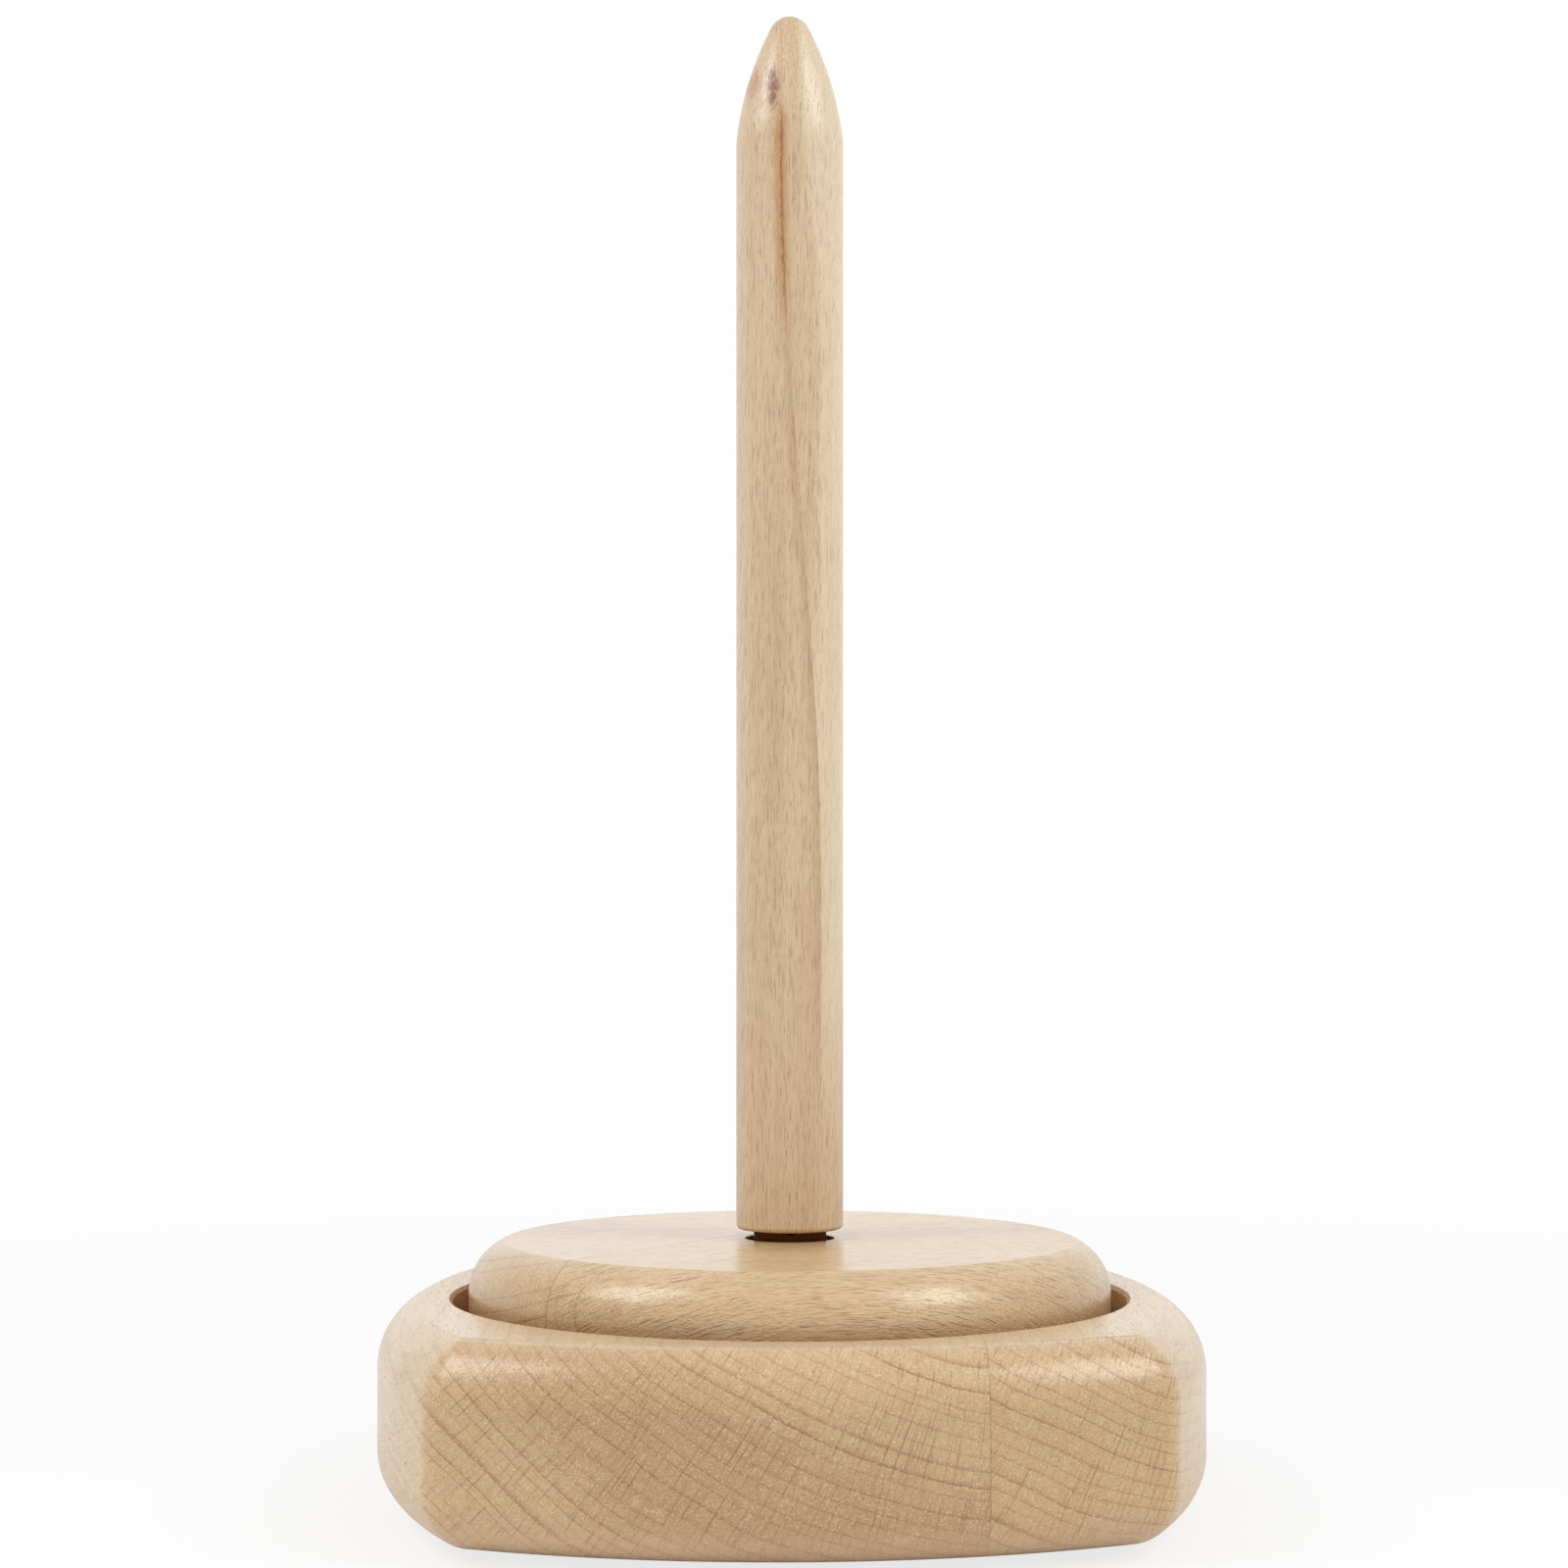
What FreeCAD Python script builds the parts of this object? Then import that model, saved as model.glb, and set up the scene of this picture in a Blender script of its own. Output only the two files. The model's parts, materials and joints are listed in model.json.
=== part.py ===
import FreeCAD, Part
import math
import os
from types import SimpleNamespace

import Sketcher
from FreeCAD import Placement, Rotation, Vector

# Rotating yarn holder. Millimetres, +Z up. The origin is on the floor, on the turning axis,
# midway between the four foot pads. The front of the block faces -Y.

doc = FreeCAD.newDocument("yarn_holder")

# Driving dimensions
# Each line is a name, its value and what it measures.
dimensions = [
    ("base_width", 114.0, "block, across the middles of two opposite bowed sides"),
    ("side_bow", 10.5, "a side's middle, outwards from the line between its corners"),
    ("base_height", 26.6, "block, underside to top"),
    ("base_corner_round", 6.0, "radius of the block's upright edges"),
    ("base_top_round", 8.9, "radius of the block's upper edge"),
    ("base_top_planing", 0.7, "planed off the top after rounding, which leaves a crease"),
    ("base_foot_round", 7.4, "radius of the block's lower edge"),
    ("base_seam_offset", 22.4, "glue line of the block, right of the axis"),
    ("rim_width", 10.0, "from the recess to the middle of a side"),
    ("rim_chamfer", 0.5, "chamfer at the recess mouth"),
    ("recess_gap", 2.2, "between the recess wall and the disc"),
    ("disc_thickness", 17.0, "turntable disc, underside to top"),
    ("disc_top_round", 7.7, "radius of the disc's upper edge"),
    ("disc_top_planing", 0.5, "planed off the disc's top after rounding"),
    ("disc_foot_chamfer", 1.0, "chamfer of the disc's lower edge"),
    ("disc_seam_offset", 8.3, "glue line of the disc, left of the axis"),
    ("disc_seam_turn", 36.0, "degrees from the depth axis to the disc's glue line"),
    ("spindle_width", 15.0, "spindle, across"),
    ("spindle_length", 170.0, "spindle, foot to tip"),
    ("spindle_gap", 1.3, "between the disc's top and the spindle's foot"),
    ("tip_length", 17.5, "pointed end of the spindle"),
    ("tip_arc", 46.0, "radius of the pointed end's bowed flank"),
    ("tip_round", 3.0, "radius of the blunt point"),
    ("spindle_foot_round", 0.7, "broken edge of the spindle's foot"),
    ("socket_spare", 2.1, "drilled socket in the spindle's foot, beyond the bolt"),
    ("insert_width", 9.0, "threaded insert, across its ridges"),
    ("insert_length", 12.0, "threaded insert"),
    ("insert_groove_depth", 0.5, "groove between two ridges of the insert"),
    ("insert_groove_width", 1.2, "groove between two ridges of the insert"),
    ("insert_groove_step", 2.4, "from one groove of the insert to the next"),
    ("bolt_width", 6.0, "axle bolt, across its thread"),
    ("bolt_reach", 0.9, "axle bolt, beyond the insert"),
    ("bolt_chamfer", 0.6, "chamfer of the bolt's end"),
    ("bolt_head_height", 4.0, "bolt head"),
    ("hexagon_width", 10.0, "bolt head and nut, across flats"),
    ("nut_height", 5.0, "nut"),
    ("thread_fit", 0.02, "radial clearance round the bolt's thread"),
    ("washer_fit", 0.2, "radial clearance of the washers round the bolt"),
    ("bolt_hole_fit", 0.3, "radial clearance of the disc's bolt hole"),
    ("seat_fit", 0.02, "radial clearance of a piece in its wooden seat"),
    ("washer_overhang", 0.2, "flat washer, beyond the nut's corners"),
    ("washer_seat_fit", 0.3, "radial clearance of a washer in its recess"),
    ("clamp_washer_thickness", 1.6, "flat washer under the nut"),
    ("spring_washer_thickness", 1.6, "spring washer"),
    ("spring_washer_split", 0.9, "opening of the spring washer"),
    ("support_washer_width", 24.0, "wide washer under the disc, across"),
    ("support_washer_thickness", 1.5, "wide washer under the disc"),
    ("support_washer_inset", 1.3, "depth that the wide washer is let into the disc"),
    ("spacer_width", 9.0, "spacer ring and head washer, across"),
    ("spacer_rise", 0.6, "spacer ring, above the keeper plate"),
    ("head_washer_thickness", 1.0, "washer on the bolt's head"),
    ("bearing_width", 19.0, "ball bearing, outside"),
    ("bearing_height", 6.0, "ball bearing, and the depth of its pocket"),
    ("ball_width", 3.5, "ball of the bearing"),
    ("ball_count", 7, "number of balls"),
    ("ball_clearance", 0.05, "between a ball and its tracks"),
    ("track_depth", 0.45, "depth of the ball track in each race"),
    ("cage_wall", 1.5, "cage, from inside to outside"),
    ("cage_rise", 0.9, "cage, above the middles of the balls"),
    ("cage_shield_gap", 0.25, "between the cage and the lower shield"),
    ("cage_pocket_clearance", 0.2, "between a ball and its pocket in the cage"),
    ("shield_thickness", 0.3, "bearing shield"),
    ("shield_inset", 0.05, "bearing shield, below the race's face"),
    ("shield_gap", 0.35, "between a shield and the inner race"),
    ("bearing_ledge", 0.6, "ledge under the bearing, inside the outer race"),
    ("keeper_thickness", 1.0, "keeper plate"),
    ("keeper_screw_inset", 3.5, "from the bearing's outside to the keeper screws' middles"),
    ("keeper_margin", 4.0, "from the keeper screws' middles to the plate's outside"),
    ("keeper_screw_count", 4, "number of keeper screws"),
    ("screw_width", 3.0, "keeper screw, across its shank"),
    ("screw_length", 9.0, "keeper screw, below its head"),
    ("screw_point", 2.5, "pointed end of the keeper screw"),
    ("screw_slot_width", 0.8, "driver slot of the keeper screw"),
    ("screw_slot_depth", 0.5, "driver slot of the keeper screw"),
    ("screw_hole_spare", 0.5, "screw hole, deeper than the screw"),
    ("plug_flange_reach", 3.0, "bore plug's flange, beyond its bore"),
    ("plug_flange_thickness", 1.0, "bore plug's flange"),
    ("plug_stem_length", 3.5, "bore plug, inside the bore"),
    ("plug_stem_chamfer", 0.5, "chamfer of the plug's stem"),
    ("plug_bolt_gap", 1.1, "between the plug's stem and the bolt's head"),
    ("pad_width", 13.0, "foot pad, across"),
    ("pad_thickness", 1.5, "foot pad"),
    ("pad_inset", 15.5, "foot pad's middle, in from the block's corner"),
    ("pad_chamfer", 0.3, "chamfer of the foot pad's lower edge"),
]

sheet = doc.addObject("Spreadsheet::Sheet", "sizes")
for row, (alias, value, note) in enumerate(dimensions, start=1):
    sheet.set(f"A{row}", alias)
    sheet.set(f"B{row}", str(value))
    sheet.set(f"C{row}", note)
    sheet.setAlias(f"B{row}", alias)
doc.recompute()


class Size:
    # A length from the sheet, with the formula that a feature is bound to.
    def __init__(self, value, formula):
        self.value = value
        self.formula = formula

    def joined(self, other, result, sign, swapped=False):
        other_formula = other.formula if isinstance(other, Size) else str(other)
        pair = (other_formula, self.formula) if swapped else (self.formula, other_formula)
        return Size(result, f"({pair[0]} {sign} {pair[1]})")

    def __add__(self, other):
        return self.joined(other, self.value + number(other), "+")

    def __sub__(self, other):
        return self.joined(other, self.value - number(other), "-")

    def __rsub__(self, other):
        return self.joined(other, number(other) - self.value, "-", swapped=True)

    def __mul__(self, other):
        return self.joined(other, self.value * number(other), "*")

    def __truediv__(self, other):
        return self.joined(other, self.value / number(other), "/")

    def __neg__(self):
        return Size(-self.value, f"(-{self.formula})")


def number(size):
    return size.value if isinstance(size, Size) else size


dim = SimpleNamespace(
    **{alias: Size(sheet.get(alias), "sizes." + alias) for alias, _, _ in dimensions}
)

# Levels above the floor, from the bottom up
block_bottom = dim.pad_thickness
bolt_head_bottom = block_bottom + dim.plug_stem_length + dim.plug_bolt_gap
head_washer_bottom = bolt_head_bottom + dim.bolt_head_height
bearing_bottom = head_washer_bottom + dim.head_washer_thickness
recess_floor = bearing_bottom + dim.bearing_height
spacer_height = dim.keeper_thickness + dim.spacer_rise
support_washer_bottom = recess_floor + spacer_height
support_washer_top = support_washer_bottom + dim.support_washer_thickness
disc_bottom = support_washer_top - dim.support_washer_inset
disc_top = disc_bottom + dim.disc_thickness
spindle_foot = disc_top + dim.spindle_gap
nut_bottom = spindle_foot - dim.nut_height
spring_washer_bottom = nut_bottom - dim.spring_washer_thickness
clamp_washer_bottom = spring_washer_bottom - dim.clamp_washer_thickness

# Widths that several pieces share
corner_span = dim.base_width - dim.side_bow * 2
recess_radius = dim.base_width / 2 - dim.rim_width
disc_radius = recess_radius - dim.recess_gap
washer_hole = dim.bolt_width / 2 + dim.washer_fit
thread_hole = dim.bolt_width / 2 + dim.thread_fit
hexagon_flat = dim.hexagon_width / 2
hexagon_corner = dim.hexagon_width * (1 / math.sqrt(3))
corner_rise = (hexagon_corner - hexagon_flat) * math.tan(math.radians(30))
clamp_washer_radius = hexagon_corner + dim.washer_overhang
bearing_radius = dim.bearing_width / 2
ball_circle_radius = (dim.bolt_width + dim.bearing_width) / 4
ball_middle = dim.bearing_height / 2
track_radius = dim.ball_width / 2 + dim.ball_clearance
inner_land = ball_circle_radius - track_radius + dim.track_depth
outer_land = ball_circle_radius + track_radius - dim.track_depth
head_bore_radius = outer_land - dim.bearing_ledge
keeper_screw_radius = bearing_radius + dim.keeper_screw_inset

# Depths that several pieces share
block_floor = recess_floor - block_bottom
nut_recess_depth = disc_top - clamp_washer_bottom
bolt_length = spindle_foot + dim.insert_length + dim.bolt_reach - head_washer_bottom
socket_depth = dim.insert_length + dim.bolt_reach + dim.socket_spare

pieces = []


def new_body(name):
    body = doc.addObject("PartDesign::Body", name)
    body.Label = name
    pieces.append(body)
    return body


def origin_feature(body, role):
    return next(part for part in body.Origin.OriginFeatures if part.Role == role)


def new_sketch(body, name, role, lift=None, shift=None):
    # A sketch on an origin plane, lifted off it and shifted along its own first axis.
    sketch = body.newObject("Sketcher::SketchObject", name)
    sketch.AttachmentSupport = [(origin_feature(body, role), "")]
    sketch.MapMode = "FlatFace"
    if lift is not None:
        sketch.setExpression("AttachmentOffset.Base.z", lift.formula)
    if shift is not None:
        sketch.setExpression("AttachmentOffset.Base.x", shift.formula)
    return sketch


def bound_constraint(sketch, kind, *target, size):
    index = sketch.addConstraint(Sketcher.Constraint(kind, *target, number(size)))
    if isinstance(size, Size):
        sketch.setExpression(f"Constraints[{index}]", size.formula)


def pin_point(sketch, curve, end, x, y):
    # Ties one end of a curve to its distances from the sketch's origin.
    for kind, axis, distance in (("DistanceX", -2, x), ("DistanceY", -1, y)):
        if number(distance) == 0:
            sketch.addConstraint(Sketcher.Constraint("PointOnObject", curve, end, axis))
        else:
            bound_constraint(sketch, kind, -1, 1, curve, end, size=distance)


def add_circle(sketch, radius, x=0, y=0):
    centre = Vector(number(x), number(y), 0)
    circle = sketch.addGeometry(Part.Circle(centre, Vector(0, 0, 1), number(radius)), False)
    pin_point(sketch, circle, 3, x, y)
    bound_constraint(sketch, "Radius", circle, size=radius)


def add_polygon(sketch, corners):
    points = [Vector(number(x), number(y), 0) for x, y in corners]
    following = points[1:] + points[:1]
    lines = [
        sketch.addGeometry(Part.LineSegment(start, end), False)
        for start, end in zip(points, following)
    ]
    for line, next_line in zip(lines, lines[1:] + lines[:1]):
        sketch.addConstraint(Sketcher.Constraint("Coincident", line, 2, next_line, 1))
    for line, (x, y) in zip(lines, corners):
        pin_point(sketch, line, 1, x, y)


def add_hexagon(sketch, width):
    # Regular hexagon round the origin, its two flat sides facing left and right.
    outer = width.value / math.sqrt(3)
    corners = [Vector(0, outer, 0)]
    for step in range(1, 6):
        corners.append(Rotation(Vector(0, 0, 1), 60 * step).multVec(corners[0]))
    lines = [
        sketch.addGeometry(Part.LineSegment(start, end), False)
        for start, end in zip(corners, corners[1:] + corners[:1])
    ]
    around = sketch.addGeometry(Part.Circle(Vector(), Vector(0, 0, 1), outer), True)
    sketch.addConstraint(Sketcher.Constraint("Coincident", around, 3, -1, 1))
    for line, next_line in zip(lines, lines[1:] + lines[:1]):
        sketch.addConstraint(Sketcher.Constraint("Coincident", line, 2, next_line, 1))
        sketch.addConstraint(Sketcher.Constraint("PointOnObject", line, 1, around))
    for line in lines[1:]:
        sketch.addConstraint(Sketcher.Constraint("Equal", lines[0], line))
    sketch.addConstraint(Sketcher.Constraint("PointOnObject", lines[0], 1, -2))
    bound_constraint(sketch, "DistanceX", lines[4], 1, lines[1], 1, size=-width)


def pad(body, sketch, length):
    feature = body.newObject("PartDesign::Pad", sketch.Name + "_pad")
    feature.Profile = sketch
    feature.setExpression("Length", length.formula)
    doc.recompute()
    return feature


def cut_down(body, sketch, depth, upward=False):
    # Cuts from the sketch down by a depth, or up where the piece is cut from below.
    feature = body.newObject("PartDesign::Pocket", sketch.Name + "_pocket")
    feature.Profile = sketch
    feature.Reversed = upward
    feature.setExpression("Length", depth.formula)
    return checked_cut(body, feature)


def cut_through(body, sketch):
    feature = body.newObject("PartDesign::Pocket", sketch.Name + "_pocket")
    feature.Profile = sketch
    feature.Type = "ThroughAll"
    feature.SideType = "Symmetric"
    return checked_cut(body, feature)


def checked_cut(body, feature):
    before = feature.BaseFeature.Shape.Volume
    doc.recompute()
    if feature.Shape.Volume >= before:
        raise RuntimeError(f"{body.Label}: {feature.Name} removes nothing")
    return feature


def revolve(body, sketch):
    feature = body.newObject("PartDesign::Revolution", sketch.Name + "_revolution")
    feature.Profile = sketch
    feature.ReferenceAxis = (sketch, ["V_Axis"])
    feature.Angle = 360
    doc.recompute()
    return feature


def groove(body, sketch):
    feature = body.newObject("PartDesign::Groove", sketch.Name + "_groove")
    feature.Profile = sketch
    feature.ReferenceAxis = (sketch, ["V_Axis"])
    feature.Angle = 360
    return checked_cut(body, feature)


def edge_names(shape, wanted):
    return [f"Edge{index}" for index, edge in enumerate(shape.Edges, start=1) if wanted(edge)]


def at_level(level):
    return lambda edge: all(abs(v.Z - number(level)) < 1e-4 for v in edge.Vertexes)


def upright(edge):
    start, end = edge.Vertexes[0].Point, edge.Vertexes[-1].Point
    return abs(start.z - end.z) > 1 and math.hypot(start.x - end.x, start.y - end.y) < 1e-4


def fillet(body, name, radius, wanted):
    base = body.Tip
    feature = body.newObject("PartDesign::Fillet", name)
    feature.Base = (base, edge_names(base.Shape, wanted))
    feature.setExpression("Radius", radius.formula)
    doc.recompute()


def chamfer(body, name, size, wanted):
    base = body.Tip
    feature = body.newObject("PartDesign::Chamfer", name)
    feature.Base = (base, edge_names(base.Shape, wanted))
    feature.setExpression("Size", size.formula)
    doc.recompute()


def repeat_around(body, features, count):
    # Repeats features evenly round the piece's own upright axis.
    feature = body.newObject("PartDesign::PolarPattern", body.Name + "_pattern")
    feature.Originals = features
    feature.Axis = (origin_feature(body, "Z_Axis"), [""])
    feature.Angle = 360
    feature.setExpression("Occurrences", count.formula)
    body.Tip = feature
    doc.recompute()
    return feature


def stand_at(body, level, turn=None):
    # Puts the piece's own origin at a level on the turning axis.
    if turn is not None:
        body.Placement = Placement(Vector(), Rotation(Vector(0, 0, 1), turn.value))
        body.setExpression("Placement.Rotation.Angle", f"{turn.formula} * 1 deg")
    body.setExpression("Placement.Base.z", level.formula)


def ring(name, inner, outer, height, level):
    # A flat ring with square edges, standing on its level.
    body = new_body(name)
    sketch = new_sketch(body, name + "_section", "XZ_Plane")
    add_polygon(sketch, [(inner, 0), (outer, 0), (outer, height), (inner, height)])
    revolve(body, sketch)
    stand_at(body, level)
    return body


def cut_beyond_seam(body, seam, side):
    # Removes what lies past the glue line, on the side given by the sign.
    sketch = new_sketch(body, body.Name + "_seam", "XY_Plane")
    far = dim.base_width * side
    add_polygon(
        sketch,
        [
            (seam, -dim.base_width),
            (far, -dim.base_width),
            (far, dim.base_width),
            (seam, dim.base_width),
        ],
    )
    cut_through(body, sketch)


def plane_top(body, name, level, planing):
    # Takes the last of the top off, above a level.
    sketch = new_sketch(body, name, "XY_Plane", lift=level)
    add_circle(sketch, dim.base_width)
    cut_down(body, sketch, planing, upward=True)


def add_bowed_square(sketch):
    # Four arcs between the corners, each bowed out to the block's full width.
    corner = corner_span / 2
    bow_radius = (corner * corner + dim.side_bow * dim.side_bow) / (dim.side_bow * 2)
    corners = [(-corner, -corner), (corner, -corner), (corner, corner), (-corner, corner)]
    points = [Vector(x.value, y.value, 0) for x, y in corners]
    arcs = []
    for start, end in zip(points, points[1:] + points[:1]):
        outward = (start + end) / 2
        apex = outward * (dim.base_width.value / 2 / outward.Length)
        arcs.append(sketch.addGeometry(Part.Arc(start, apex, end), False))
    for arc, next_arc in zip(arcs, arcs[1:] + arcs[:1]):
        sketch.addConstraint(Sketcher.Constraint("Coincident", arc, 2, next_arc, 1))
    for arc, (x, y) in zip(arcs, corners):
        pin_point(sketch, arc, 1, x, y)
        bound_constraint(sketch, "Radius", arc, size=bow_radius)


def base_stave(name, cut_side):
    # The whole block, shaped and bored, then cut away beyond the glue line.
    body = new_body(name)
    outline = new_sketch(body, name + "_outline", "XY_Plane")
    add_bowed_square(outline)
    pad(body, outline, dim.base_height + dim.base_top_planing)
    fillet(body, name + "_corners", dim.base_corner_round, upright)
    rough_top = dim.base_height + dim.base_top_planing
    fillet(body, name + "_top_edge", dim.base_top_round, at_level(rough_top))
    fillet(body, name + "_foot_edge", dim.base_foot_round, at_level(0))
    plane_top(body, name + "_planing", dim.base_height, dim.base_top_planing)

    recess = new_sketch(body, name + "_recess", "XY_Plane", lift=dim.base_height)
    add_circle(recess, recess_radius)
    cut_down(body, recess, dim.base_height - block_floor)
    mouth = at_level(dim.base_height)
    is_mouth = lambda edge: mouth(edge) and len(edge.Vertexes) == 1
    chamfer(body, name + "_recess_edge", dim.rim_chamfer, is_mouth)

    pocket = new_sketch(body, name + "_bearing_pocket", "XY_Plane", lift=block_floor)
    add_circle(pocket, bearing_radius + dim.seat_fit)
    cut_down(body, pocket, dim.bearing_height)
    bore = new_sketch(body, name + "_head_bore", "XY_Plane")
    add_circle(bore, head_bore_radius)
    cut_down(body, bore, block_floor, upward=True)

    screw_hole = new_sketch(
        body, name + "_screw_hole", "XY_Plane", lift=block_floor, shift=keeper_screw_radius
    )
    add_circle(screw_hole, dim.screw_width / 2 + dim.seat_fit)
    first_hole = cut_down(body, screw_hole, dim.screw_length + dim.screw_hole_spare)
    repeat_around(body, [first_hole], dim.keeper_screw_count)

    cut_beyond_seam(body, dim.base_seam_offset, cut_side)
    stand_at(body, block_bottom)


def disc_stave(name, cut_side):
    # The whole disc, shaped and bored, then cut away beyond the glue line.
    body = new_body(name)
    outline = new_sketch(body, name + "_outline", "XY_Plane")
    add_circle(outline, disc_radius)
    rough_top = dim.disc_thickness + dim.disc_top_planing
    pad(body, outline, rough_top)
    fillet(body, name + "_top_edge", dim.disc_top_round, at_level(rough_top))
    chamfer(body, name + "_foot_edge", dim.disc_foot_chamfer, at_level(0))
    plane_top(body, name + "_planing", dim.disc_thickness, dim.disc_top_planing)

    washer_seat = new_sketch(body, name + "_washer_seat", "XY_Plane")
    add_circle(washer_seat, dim.support_washer_width / 2 + dim.washer_seat_fit)
    cut_down(body, washer_seat, dim.support_washer_inset, upward=True)
    nut_recess = new_sketch(body, name + "_nut_recess", "XY_Plane", lift=dim.disc_thickness)
    add_circle(nut_recess, clamp_washer_radius + dim.washer_seat_fit)
    cut_down(body, nut_recess, nut_recess_depth)
    bolt_hole = new_sketch(body, name + "_bolt_hole", "XY_Plane")
    add_circle(bolt_hole, dim.bolt_width / 2 + dim.bolt_hole_fit)
    cut_through(body, bolt_hole)

    cut_beyond_seam(body, -dim.disc_seam_offset, cut_side)
    stand_at(body, disc_bottom, turn=-dim.disc_seam_turn)


def spindle():
    # A turned dowel: straight shaft, bowed point with a blunt end, and a socket in its foot.
    body = new_body("spindle")
    section = new_sketch(body, "spindle_section", "XZ_Plane")
    radius = dim.spindle_width / 2
    shoulder = dim.spindle_length - dim.tip_length
    point_middle = dim.spindle_length - dim.tip_round

    # Where the bowed flank runs into the blunt point, worked out for the first guess
    reach = math.hypot(radius.value, point_middle.value - shoulder.value)
    lean = math.atan2(point_middle.value - shoulder.value, radius.value)
    flank = dim.tip_arc.value
    gap = flank - dim.tip_round.value
    turn = math.acos((flank**2 + reach**2 - gap**2) / (2 * flank * reach)) - lean
    flank_middle = Vector(
        radius.value - flank * math.cos(turn), shoulder.value + flank * math.sin(turn), 0
    )
    blunt_middle = Vector(0, point_middle.value, 0)
    outward = (blunt_middle - flank_middle).normalize()
    meeting = blunt_middle + outward * dim.tip_round.value
    shoulder_point = Vector(radius.value, shoulder.value, 0)
    halfway = ((shoulder_point - flank_middle) + (meeting - flank_middle)).normalize()
    tip = Vector(0, dim.spindle_length.value, 0)
    blunt_halfway = ((meeting - blunt_middle) + (tip - blunt_middle)).normalize()

    axis = section.addGeometry(Part.LineSegment(tip, Vector()), False)
    foot = section.addGeometry(Part.LineSegment(Vector(), Vector(radius.value, 0, 0)), False)
    shaft = section.addGeometry(
        Part.LineSegment(Vector(radius.value, 0, 0), shoulder_point), False
    )
    bowed = section.addGeometry(
        Part.Arc(shoulder_point, flank_middle + halfway * flank, meeting), False
    )
    blunt = section.addGeometry(
        Part.Arc(meeting, blunt_middle + blunt_halfway * dim.tip_round.value, tip), False
    )
    section.addConstraint(Sketcher.Constraint("Coincident", axis, 2, foot, 1))
    section.addConstraint(Sketcher.Constraint("Coincident", foot, 2, shaft, 1))
    section.addConstraint(Sketcher.Constraint("Coincident", shaft, 2, bowed, 1))
    section.addConstraint(Sketcher.Constraint("Tangent", bowed, 2, blunt, 1))
    section.addConstraint(Sketcher.Constraint("Coincident", blunt, 2, axis, 1))
    section.addConstraint(Sketcher.Constraint("PointOnObject", blunt, 3, -2))
    pin_point(section, foot, 1, 0, 0)
    pin_point(section, shaft, 1, radius, 0)
    pin_point(section, bowed, 1, radius, shoulder)
    pin_point(section, axis, 1, 0, dim.spindle_length)
    bound_constraint(section, "Radius", bowed, size=dim.tip_arc)
    bound_constraint(section, "Radius", blunt, size=dim.tip_round)
    revolve(body, section)
    fillet(body, "spindle_foot_edge", dim.spindle_foot_round, at_level(0))
    socket = new_sketch(body, "spindle_socket", "XY_Plane")
    add_circle(socket, dim.insert_width / 2 + dim.seat_fit)
    cut_down(body, socket, socket_depth, upward=True)
    stand_at(body, spindle_foot)


def spindle_insert():
    # A barbed brass sleeve; grooves part its ridges.
    body = new_body("spindle_insert")
    section = new_sketch(body, "insert_section", "XZ_Plane")
    outer = dim.insert_width / 2
    add_polygon(
        section,
        [
            (thread_hole, 0),
            (outer, 0),
            (outer, dim.insert_length),
            (thread_hole, dim.insert_length),
        ],
    )
    revolve(body, section)
    ridge = new_sketch(body, "insert_groove", "XZ_Plane")
    inner = outer - dim.insert_groove_depth
    low = dim.insert_groove_step - dim.insert_groove_width
    high = dim.insert_groove_step
    add_polygon(
        ridge,
        [
            (inner, low),
            (outer + dim.insert_groove_depth, low),
            (outer + dim.insert_groove_depth, high),
            (inner, high),
        ],
    )
    first_groove = groove(body, ridge)
    pattern = body.newObject("PartDesign::LinearPattern", "insert_grooves")
    pattern.Originals = [first_groove]
    pattern.Direction = (origin_feature(body, "Z_Axis"), [""])
    count = math.floor(dim.insert_length.value / dim.insert_groove_step.value - 0.01)
    pattern.Occurrences = count
    pattern.setExpression("Length", (dim.insert_groove_step * (count - 1)).formula)
    body.Tip = pattern
    doc.recompute()
    stand_at(body, spindle_foot)


def turn_off_corners(body, name, face, depth):
    # Turns the hexagon's corners off in a cone, from its face down to a depth.
    beyond = hexagon_corner * 2 - hexagon_flat
    section = new_sketch(body, name, "XZ_Plane")
    add_polygon(
        section,
        [(hexagon_flat, face), (beyond, face), (beyond, depth), (hexagon_corner, depth)],
    )
    groove(body, section)


def clamp_nut():
    body = new_body("clamp_nut")
    outline = new_sketch(body, "clamp_nut_hexagon", "XY_Plane")
    add_hexagon(outline, dim.hexagon_width)
    pad(body, outline, dim.nut_height)
    turn_off_corners(body, "nut_lower_corners", 0, corner_rise)
    upper = dim.nut_height - corner_rise
    turn_off_corners(body, "nut_upper_corners", dim.nut_height, upper)
    hole = new_sketch(body, "clamp_nut_hole", "XY_Plane")
    add_circle(hole, thread_hole)
    cut_through(body, hole)
    stand_at(body, nut_bottom)


def axle_bolt():
    body = new_body("axle_bolt")
    outline = new_sketch(body, "axle_bolt_hexagon", "XY_Plane")
    add_hexagon(outline, dim.hexagon_width)
    pad(body, outline, dim.bolt_head_height)
    turn_off_corners(body, "bolt_head_corners", 0, corner_rise)
    shank = new_sketch(body, "axle_bolt_shank", "XY_Plane", lift=dim.bolt_head_height)
    add_circle(shank, dim.bolt_width / 2)
    pad(body, shank, bolt_length)
    end = dim.bolt_head_height + bolt_length
    chamfer(body, "axle_bolt_end", dim.bolt_chamfer, at_level(end))
    stand_at(body, bolt_head_bottom)


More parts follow.
